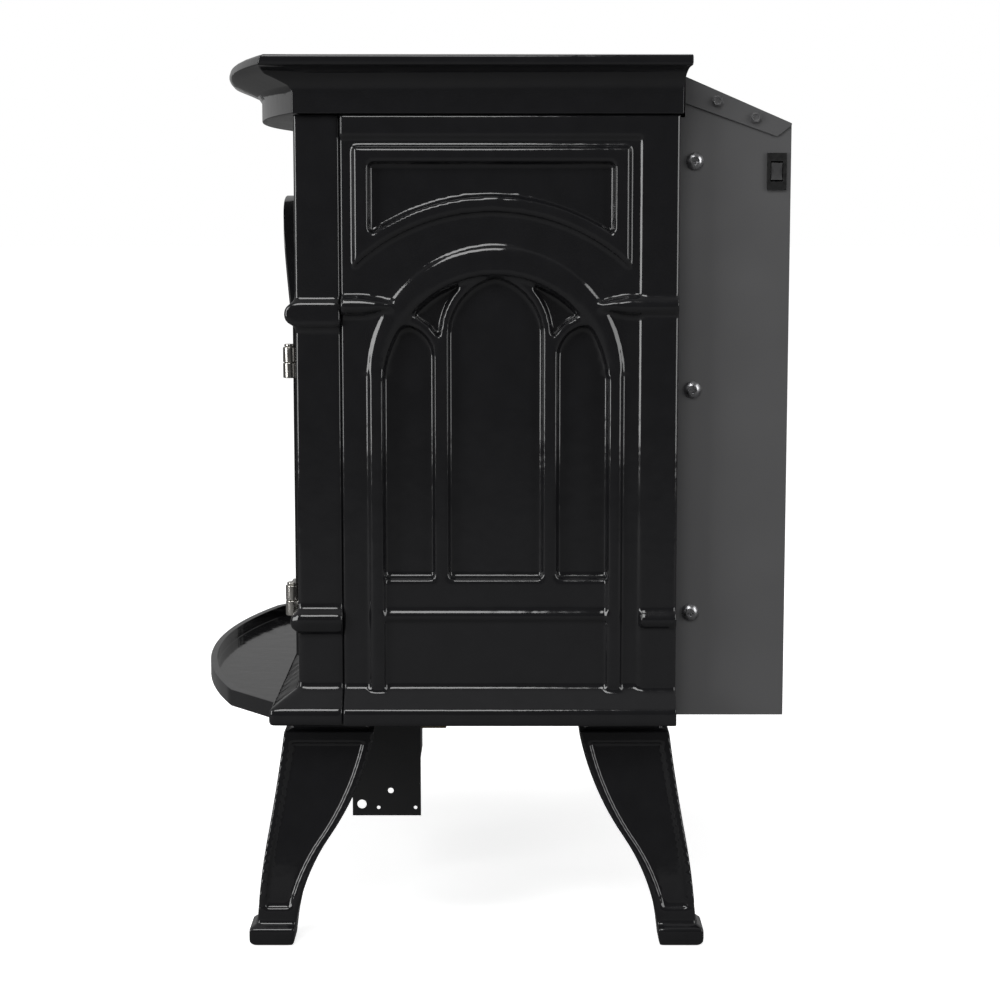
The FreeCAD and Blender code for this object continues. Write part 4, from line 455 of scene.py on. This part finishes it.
# %% Helpers: pick a piece, copy it, work on it and hand it over to its body
WELD = 0.01 * MM                 # points closer than this are one point


def pick(piece):
    """Make a piece the only one selected."""
    bpy.ops.object.select_all(action="DESELECT")
    piece.select_set(True)
    bpy.context.view_layer.objects.active = piece


def bake(piece):
    """Put a piece's place, turn and scale into its mesh."""
    pick(piece)
    bpy.ops.object.transform_apply(location=True, rotation=True, scale=True)


def in_edit(piece, step):
    """Run an operator on everything in a piece in edit mode."""
    pick(piece)
    bpy.ops.object.mode_set(mode="EDIT")
    bpy.ops.mesh.select_all(action="SELECT")
    step()
    bpy.ops.object.mode_set(mode="OBJECT")


def copy_of(node, name):
    """A copy of a solid's mesh, its triangles joined, as a piece of its own."""
    piece = bpy.data.objects.new(name, NODES[node].data.copy())
    piece.data.materials.clear()
    scene.collection.objects.link(piece)
    in_edit(piece, lambda: bpy.ops.mesh.remove_doubles(threshold=WELD))
    return piece


def use(piece, kind, **settings):
    """Add a modifier, set it up and apply it."""
    pick(piece)
    modifier = piece.modifiers.new(kind.lower(), kind)
    for key, setting in settings.items():
        setattr(modifier, key, setting)
    bpy.ops.object.modifier_apply(modifier=modifier.name)


def from_voxels(piece, voxel):
    """Rebuild a piece from voxels of a size in millimetres."""
    use(piece, "REMESH", mode="VOXEL", voxel_size=voxel * MM, use_smooth_shade=True)


def smooth(piece, rounds, factor=0.5, **ways):
    """Even out the points of a piece in some rounds."""
    use(piece, "SMOOTH", factor=factor, iterations=rounds, **ways)


def group_where(piece, name, test):
    """A named group of the points of a piece that pass a test."""
    group = piece.vertex_groups.new(name=name)
    group.add([point.index for point in piece.data.vertices if test(point.co)], 1.0, "REPLACE")


def bevel(piece, width, angle):
    """Round the edges of a piece that turn by more than an angle."""
    use(piece, "BEVEL", width=width, segments=2, limit_method="ANGLE", angle_limit=angle)


def hand_over(piece, node):
    """Let a piece stand for a solid: its body and its finish."""
    piece.data.materials.clear()
    piece.data.materials.append(finish_of(node))
    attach(piece, BODY_OF[node])
    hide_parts(node)
    print(piece.name, len(piece.data.polygons), "faces")


# %% [markdown]
# ## Castings under enamel
#
# Molten glass flows over an iron casting and rounds every edge, inside corners as well as
# outside ones. A bevel rounds only chosen edges, so the castings with mouldings and the legs
# are rebuilt from small voxels instead and then smoothed: each arris, bead and hollow gets a
# soft roll. The heads of the panels' arches and the feet get more rounds than the rest.

# %% Soft castings
# Each casting has a voxel in millimetres and a number of rounds of smoothing.
CASTINGS = {
    "side_panel_right": (1.8, 3), "side_panel_left": (1.8, 3), "front_frame": (2.3, 3),
    "leg_front_right": (1.0, 16), "leg_front_left": (1.0, 16),
    "leg_rear_right": (1.0, 16), "leg_rear_left": (1.0, 16),
}
FOOT_TOP = 34 * MM
FOOT_ROUNDS = 12
ARCH_MIDDLE = 13 * MM
ARCH_SPRING = 450 * MM
ARCH_HALF = 96.5 * MM
ARCH_ROLL = (-16 * MM, 9 * MM)   # from this far inside the arch's line to this far outside it
ARCH_ROUNDS = 30


def on_arch_roll(point):
    """Whether a point lies on the broad roll round the head of a side panel's arch."""
    off = Vector((point.y - ARCH_MIDDLE, point.z - ARCH_SPRING)).length - ARCH_HALF
    return point.z > ARCH_SPRING and ARCH_ROLL[0] < off < ARCH_ROLL[1]


def on_foot(point):
    """Whether a point lies on a leg's foot."""
    return point.z < FOOT_TOP


def soften_where(piece, test, rounds, **ways):
    """Smooth only the points of a piece that pass a test."""
    group_where(piece, "soft", test)
    smooth(piece, rounds, vertex_group="soft", **ways)
    piece.vertex_groups.clear()


def soft_casting(node, voxel, rounds):
    """A copy of a casting, rebuilt from voxels and smoothed."""
    piece = copy_of(node, "enamelled_" + node)
    from_voxels(piece, voxel)
    smooth(piece, rounds)
    if node.startswith("side_panel"):
        soften_where(piece, on_arch_roll, ARCH_ROUNDS, use_y=False, use_z=False)
    if node.startswith("leg_"):
        soften_where(piece, on_foot, FOOT_ROUNDS)
    hand_over(piece, node)


for node, (voxel, rounds) in CASTINGS.items():
    soft_casting(node, voxel, rounds)

# %% [markdown]
# ## Plain castings, folded sheet and small metal parts
#
# The top, the tray and the door have long clean curves, sheet steel is folded with a small
# even radius, and turned or pressed parts have a broken edge. These copies keep their flat
# faces: flat triangles are dissolved into whole faces, and a bevel modifier rounds the edges
# that turn sharply.

# %% Rounded edges on top, tray, door, sheet, hinges, switch, grate and gas parts
# Each piece has the width of its bevel in millimetres.
ROUNDED = {
    "top_plate": 2.4, "hearth_tray": 1.7, "door_frame": 1.8, "rear_casing": 0.7, "casing_hood": 0.6,
    "valve_bracket": 0.4, "hinge_frame_knuckles": 0.7, "hinge_door_knuckles": 0.7, "hinge_pins": 0.5,
    "fan_switch_housing": 1.2, "fan_rocker": 1.2, "grate": 1.4, "glass_clips": 0.3, "gas_valve": 2.0,
    "gas_regulator": 1.2, "inlet_fitting": 0.8, "blower_motor": 1.5, "lead_gland": 0.7,
    "igniter_button": 0.9, "igniter_sleeve": 0.6, "liner_back": 1.5, "liner_sides": 1.5,
}
SHARP = math.radians(32)
FLAT = math.radians(1)


def rounded_copy(node, radius):
    """A copy of a solid with its sharp edges bevelled."""
    piece = copy_of(node, "rounded_" + node)
    in_edit(piece, lambda: bpy.ops.mesh.dissolve_limited(angle_limit=FLAT))
    bevel(piece, radius * MM, SHARP)
    in_edit(piece, lambda: bpy.ops.mesh.quads_convert_to_tris(ngon_method="BEAUTY"))
    pick(piece)
    bpy.ops.object.shade_smooth_by_angle(angle=SHARP)
    use(piece, "WEIGHTED_NORMAL", weight=100, keep_sharp=True)
    hand_over(piece, node)


for node, radius in ROUNDED.items():
    rounded_copy(node, radius)

# %% [markdown]
# ## Screws
#
# The casing is held by plated pan-head screws with a cross recess, and the hood by small
# hexagon screws with a washer face. Each kind is modelled once, lying along X, and copied
# to the places of the screws in the frame.

# %% Screw heads
HEAD_HIGH = 3.0 * MM             # how far a screw's seat lies behind the front of its solid
HEAD_BEVEL_FROM = math.radians(40)
HEAD_SMOOTH_BELOW = math.radians(30)
PAN_RADIUS = 6.6 * MM
PAN_RIM = 1.2 * MM
PAN_STEPS = ((0.7, 0.9), (1.1, 0.8), (1.5, 0.6), (1.5, 0.25))    # inwards and up, in millimetres
PAN_EDGE = 0.18 * MM
CROSS_LONG = 6.0 * MM
CROSS_WIDE = 1.6 * MM
CROSS_DEEP = 3.6 * MM
CROSS_MIDDLE = 3.8 * MM
WASHER_RADIUS = 4.4 * MM
WASHER_HIGH = 0.8 * MM
HEX_RADIUS = 3.8 * MM
HEX_HIGH = 3.0 * MM
HEX_RIM = 0.8 * MM
HEX_DISH = 0.4 * MM
HEX_EDGE = 0.2 * MM


def islands(node):
    """The lowest and highest corners of each separate solid in a node."""
    mesh = bmesh.new()
    mesh.from_mesh(NODES[node].data)
    bmesh.ops.remove_doubles(mesh, verts=mesh.verts, dist=WELD)
    left = set(mesh.verts)
    boxes = []
    while left:
        todo = [left.pop()]
        found = []
        while todo:
            vert = todo.pop()
            found.append(vert.co.copy())
            for edge in vert.link_edges:
                other = edge.other_vert(vert)
                if other in left:
                    left.remove(other)
                    todo.append(other)
        low = Vector([min(place[axis] for place in found) for axis in range(3)])
        high = Vector([max(place[axis] for place in found) for axis in range(3)])
        boxes.append((low, high))
    mesh.free()
    return sorted(boxes, key=lambda box: tuple(box[0]))


def select_faces(piece, test):
    """Select the faces that pass a test, in edit mode."""
    bpy.ops.mesh.select_mode(type="FACE")
    bpy.ops.mesh.select_all(action="DESELECT")
    mesh = bmesh.from_edit_mesh(piece.data)
    for face in mesh.faces:
        if test(face):
            face.select_set(True)
    bmesh.update_edit_mesh(piece.data)


def on_top(face):
    """Whether a face looks up."""
    return face.normal.z > 0.9


def cylinder(name, sides, radius, depth, raised=0.0):
    """A cylinder along Z, with its middle raised above the origin."""
    bpy.ops.object.select_all(action="DESELECT")
    bpy.ops.mesh.primitive_cylinder_add(vertices=sides, radius=radius, depth=depth, location=(0, 0, raised))
    piece = bpy.context.object
    piece.name = name
    return piece


def block(size, raised):
    """A box of a size along X, Y and Z, with its middle raised above the origin."""
    bpy.ops.object.select_all(action="DESELECT")
    bpy.ops.mesh.primitive_cube_add(size=1.0, location=(0, 0, raised), scale=size)
    piece = bpy.context.object
    bake(piece)
    return piece


def combine(piece, other, operation):
    """Cut another piece out of a piece, or join it on, and take the other one away."""
    use(piece, "BOOLEAN", operation=operation, object=other, solver="EXACT")
    bpy.data.objects.remove(other)


def stand_along_x(piece):
    """Turn a piece made along Z so that it points along X, with its place in its mesh."""
    bake(piece)
    piece.rotation_euler = (0, QUARTER_TURN, 0)
    bake(piece)


def pan_screw():
    """A domed head with a cross recess, its seat at the origin and its crown towards +X."""
    piece = cylinder("pan_screw", sides=40, radius=PAN_RADIUS, depth=PAN_RIM, raised=PAN_RIM / 2)
    bpy.ops.object.mode_set(mode="EDIT")
    for shrink, rise in PAN_STEPS:
        select_faces(piece, on_top)
        bpy.ops.mesh.inset(thickness=shrink * MM, depth=rise * MM)
    bpy.ops.object.mode_set(mode="OBJECT")
    for wide, high in ((CROSS_LONG, CROSS_WIDE), (CROSS_WIDE, CROSS_LONG)):
        slot = block((wide, high, CROSS_DEEP), raised=CROSS_MIDDLE)
        combine(piece, slot, "DIFFERENCE")
    stand_along_x(piece)
    bevel(piece, PAN_EDGE, HEAD_BEVEL_FROM)
    return piece


def hex_screw():
    """A small hexagon head on a washer face, its seat at the origin, towards +X."""
    piece = cylinder("hex_screw", sides=32, radius=WASHER_RADIUS, depth=WASHER_HIGH, raised=WASHER_HIGH / 2)
    head = cylinder("hex_head", sides=6, radius=HEX_RADIUS, depth=HEX_HIGH, raised=HEX_HIGH / 2)
    bpy.ops.object.mode_set(mode="EDIT")
    select_faces(head, on_top)
    bpy.ops.mesh.inset(thickness=HEX_RIM, depth=0.0)
    bpy.ops.mesh.inset(thickness=HEX_DISH, depth=-HEX_DISH)
    bpy.ops.object.mode_set(mode="OBJECT")
    combine(piece, head, "UNION")
    stand_along_x(piece)
    bevel(piece, HEX_EDGE, HEAD_BEVEL_FROM)
    return piece


def set_screws(pattern, node):
    """Copies of a screw on both sides of the casing, joined into one piece that stands for the node."""
    made = []
    for low, high in islands(node):
        side = 1 if low.x > 0 else -1
        front = high.x if side > 0 else low.x
        middle = (low + high) / 2
        screw = bpy.data.objects.new(node + "_head", pattern.data.copy())
        scene.collection.objects.link(screw)
        if side < 0:
            screw.rotation_euler = (0, 0, math.pi)
        screw.location = (front - side * HEAD_HIGH, middle.y, middle.z)
        bake(screw)
        made.append(screw)
    bpy.data.objects.remove(pattern)
    piece = made[0]
    pick(piece)
    for screw in made:
        screw.select_set(True)
    bpy.ops.object.join()
    piece.name = node + "_set"
    pick(piece)
    bpy.ops.object.shade_smooth_by_angle(angle=HEAD_SMOOTH_BELOW)
    hand_over(piece, node)


set_screws(pan_screw(), "casing_screws")
set_screws(hex_screw(), "hood_screws")

# %% [markdown]
# ## Logs and embers
#
# The logs are cast from fibre in moulds of real wood. Each starts as a cylinder a little
# smaller than the plain log of the frame, is rebuilt from small voxels, and is pushed about
# by clouds so that it bulges, splits and has rough ends.

# %% Logs
LOGS = ("log_rear", "log_front_left", "log_front_right", "log_top")
LOG_RADIUS = 0.93                # the cylinder's radius, as a share of the plain log's
LOG_LENGTH = 0.985               # and its length
LOG_END = 0.16                   # rounding of its ends, as a share of the radius
LOG_BULGE = 0.22                 # height of the bulges, as a share of the radius
LOG_SPLIT = 0.10                 # height of the splits
LOG_LEVEL = 0.62                 # a cloud as bright as this leaves the surface where it is
LUMP_VOXEL = 1.6                 # in millimetres


def clouds(name, size, depth):
    """A cloud texture with a size in metres and a number of finer layers."""
    texture = bpy.data.textures.new(name, "CLOUDS")
    texture.noise_scale = size
    texture.noise_depth = depth
    return texture


BULGE = clouds("log_bulge", 0.05, 1)
SPLITS = clouds("log_splits", 0.009, 4)


def bark_log(node):
    """A rough log along X, in the place of a plain one."""
    low, high = (Vector(corner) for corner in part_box(node))
    radius = (high.z - low.z) / 2
    long = high.x - low.x
    piece = cylinder("bark_" + node, sides=64, radius=radius * LOG_RADIUS, depth=long * LOG_LENGTH)
    bpy.ops.object.mode_set(mode="EDIT")
    select_faces(piece, lambda face: abs(face.normal.z) > 0.9)
    bpy.ops.mesh.bevel(offset=radius * LOG_END, segments=3, affect="EDGES")
    bpy.ops.object.mode_set(mode="OBJECT")
    stand_along_x(piece)
    piece.location = (low + high) / 2
    bake(piece)
    from_voxels(piece, LUMP_VOXEL)
    for texture, strength in ((BULGE, LOG_BULGE), (SPLITS, LOG_SPLIT)):
        use(piece, "DISPLACE", texture=texture, texture_coords="LOCAL", strength=radius * strength,
            mid_level=LOG_LEVEL)
    smooth(piece, 1, factor=0.4)
    hand_over(piece, node)


for node in LOGS:
    bark_log(node)

# %% Ember bed
EMBER_SIZE = 0.012
EMBER_DROP = 6 * MM
EMBER_CROWN = 2 * MM             # only points this close to the top move


def ember_bed():
    """A bed of loose fibre lumps, from a copy of its plain solid."""
    piece = copy_of("ember_bed", "loose_embers")
    from_voxels(piece, LUMP_VOXEL)
    lumps = bpy.data.textures.new("ember_lumps", "VORONOI")
    lumps.noise_scale = EMBER_SIZE
    crown = max(point.co.z for point in piece.data.vertices) - EMBER_CROWN
    group_where(piece, "crown", lambda point: point.z > crown)
    use(piece, "DISPLACE", texture=lumps, texture_coords="LOCAL", direction="Z", strength=-EMBER_DROP,
        mid_level=0.0, vertex_group="crown")
    piece.vertex_groups.clear()
    smooth(piece, 1)
    hand_over(piece, "ember_bed")


ember_bed()

# %% [markdown]
# ## Control knobs
#
# Each knob is a moulded disc with flutes round its rim and a raised grip across it. Pairs of
# rim faces, every other one, are pushed in to make the flutes.

# %% Knobs
KNOB_SIDES = 96
FLUTE_FACES = 2
FLUTE_DEEP = 0.7 * MM
FACE_INSET = 1.5 * MM
FACE_RISE = 0.8 * MM
GRIP_WIDE = 6 * MM
GRIP_LENGTH = 1.7                # as a share of the knob's radius
GRIP_HIGH = 9 * MM
GRIP_SUNK = 2 * MM
KNOB_EDGE = 0.5 * MM
KNOB_BEVEL_FROM = math.radians(40)
KNOB_SMOOTH_BELOW = math.radians(35)


def on_flute(face):
    """Whether a face of a knob's rim belongs to a flute."""
    turn = math.degrees(math.atan2(face.normal.y, face.normal.x))
    place = round(turn / (360 / KNOB_SIDES))
    return abs(face.normal.z) < 0.5 and place % (2 * FLUTE_FACES) < FLUTE_FACES


def fluted_knob(node):
    """A fluted knob with a grip, facing the front, in the place of a plain one."""
    low, high = (Vector(corner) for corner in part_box(node))
    middle = (low + high) / 2
    radius = (high.x - low.x) / 2
    skirt = (high.y - low.y) - GRIP_HIGH
    piece = cylinder("fluted_" + node, sides=KNOB_SIDES, radius=radius, depth=skirt)
    bpy.ops.object.mode_set(mode="EDIT")
    select_faces(piece, on_flute)
    bpy.ops.mesh.extrude_region_shrink_fatten(TRANSFORM_OT_shrink_fatten={"value": -FLUTE_DEEP})
    select_faces(piece, lambda face: on_top(face) and face.calc_area() > radius * radius)
    bpy.ops.mesh.inset(thickness=FACE_INSET, depth=FACE_RISE)
    bpy.ops.object.mode_set(mode="OBJECT")
    grip_size = (GRIP_WIDE, GRIP_LENGTH * radius, GRIP_HIGH + GRIP_SUNK)
    grip = block(grip_size, raised=(skirt + GRIP_HIGH - GRIP_SUNK) / 2)
    combine(piece, grip, "UNION")
    bevel(piece, KNOB_EDGE, KNOB_BEVEL_FROM)
    bake(piece)
    piece.rotation_euler = (QUARTER_TURN, 0, 0)
    piece.location = (middle.x, high.y - skirt / 2, middle.z)
    bake(piece)
    bpy.ops.object.shade_smooth_by_angle(angle=KNOB_SMOOTH_BELOW)
    hand_over(piece, node)


for node in ("gas_knob", "flame_knob"):
    fluted_knob(node)

# %% [markdown]
# ## Door rope and pull
#
# The rope seal is a fibre cord pressed into its groove, so its copy is softened like the
# castings but keeps a rough finish. The pull is turned nickel with rounded ends.

# %% Rope and pull
SOFT_ROUNDS = 4
for node, voxel in (("door_rope", 1.2), ("door_pull", 1.0)):
    piece = copy_of(node, "soft_" + node)
    from_voxels(piece, voxel)
    smooth(piece, SOFT_ROUNDS)
    hand_over(piece, node)
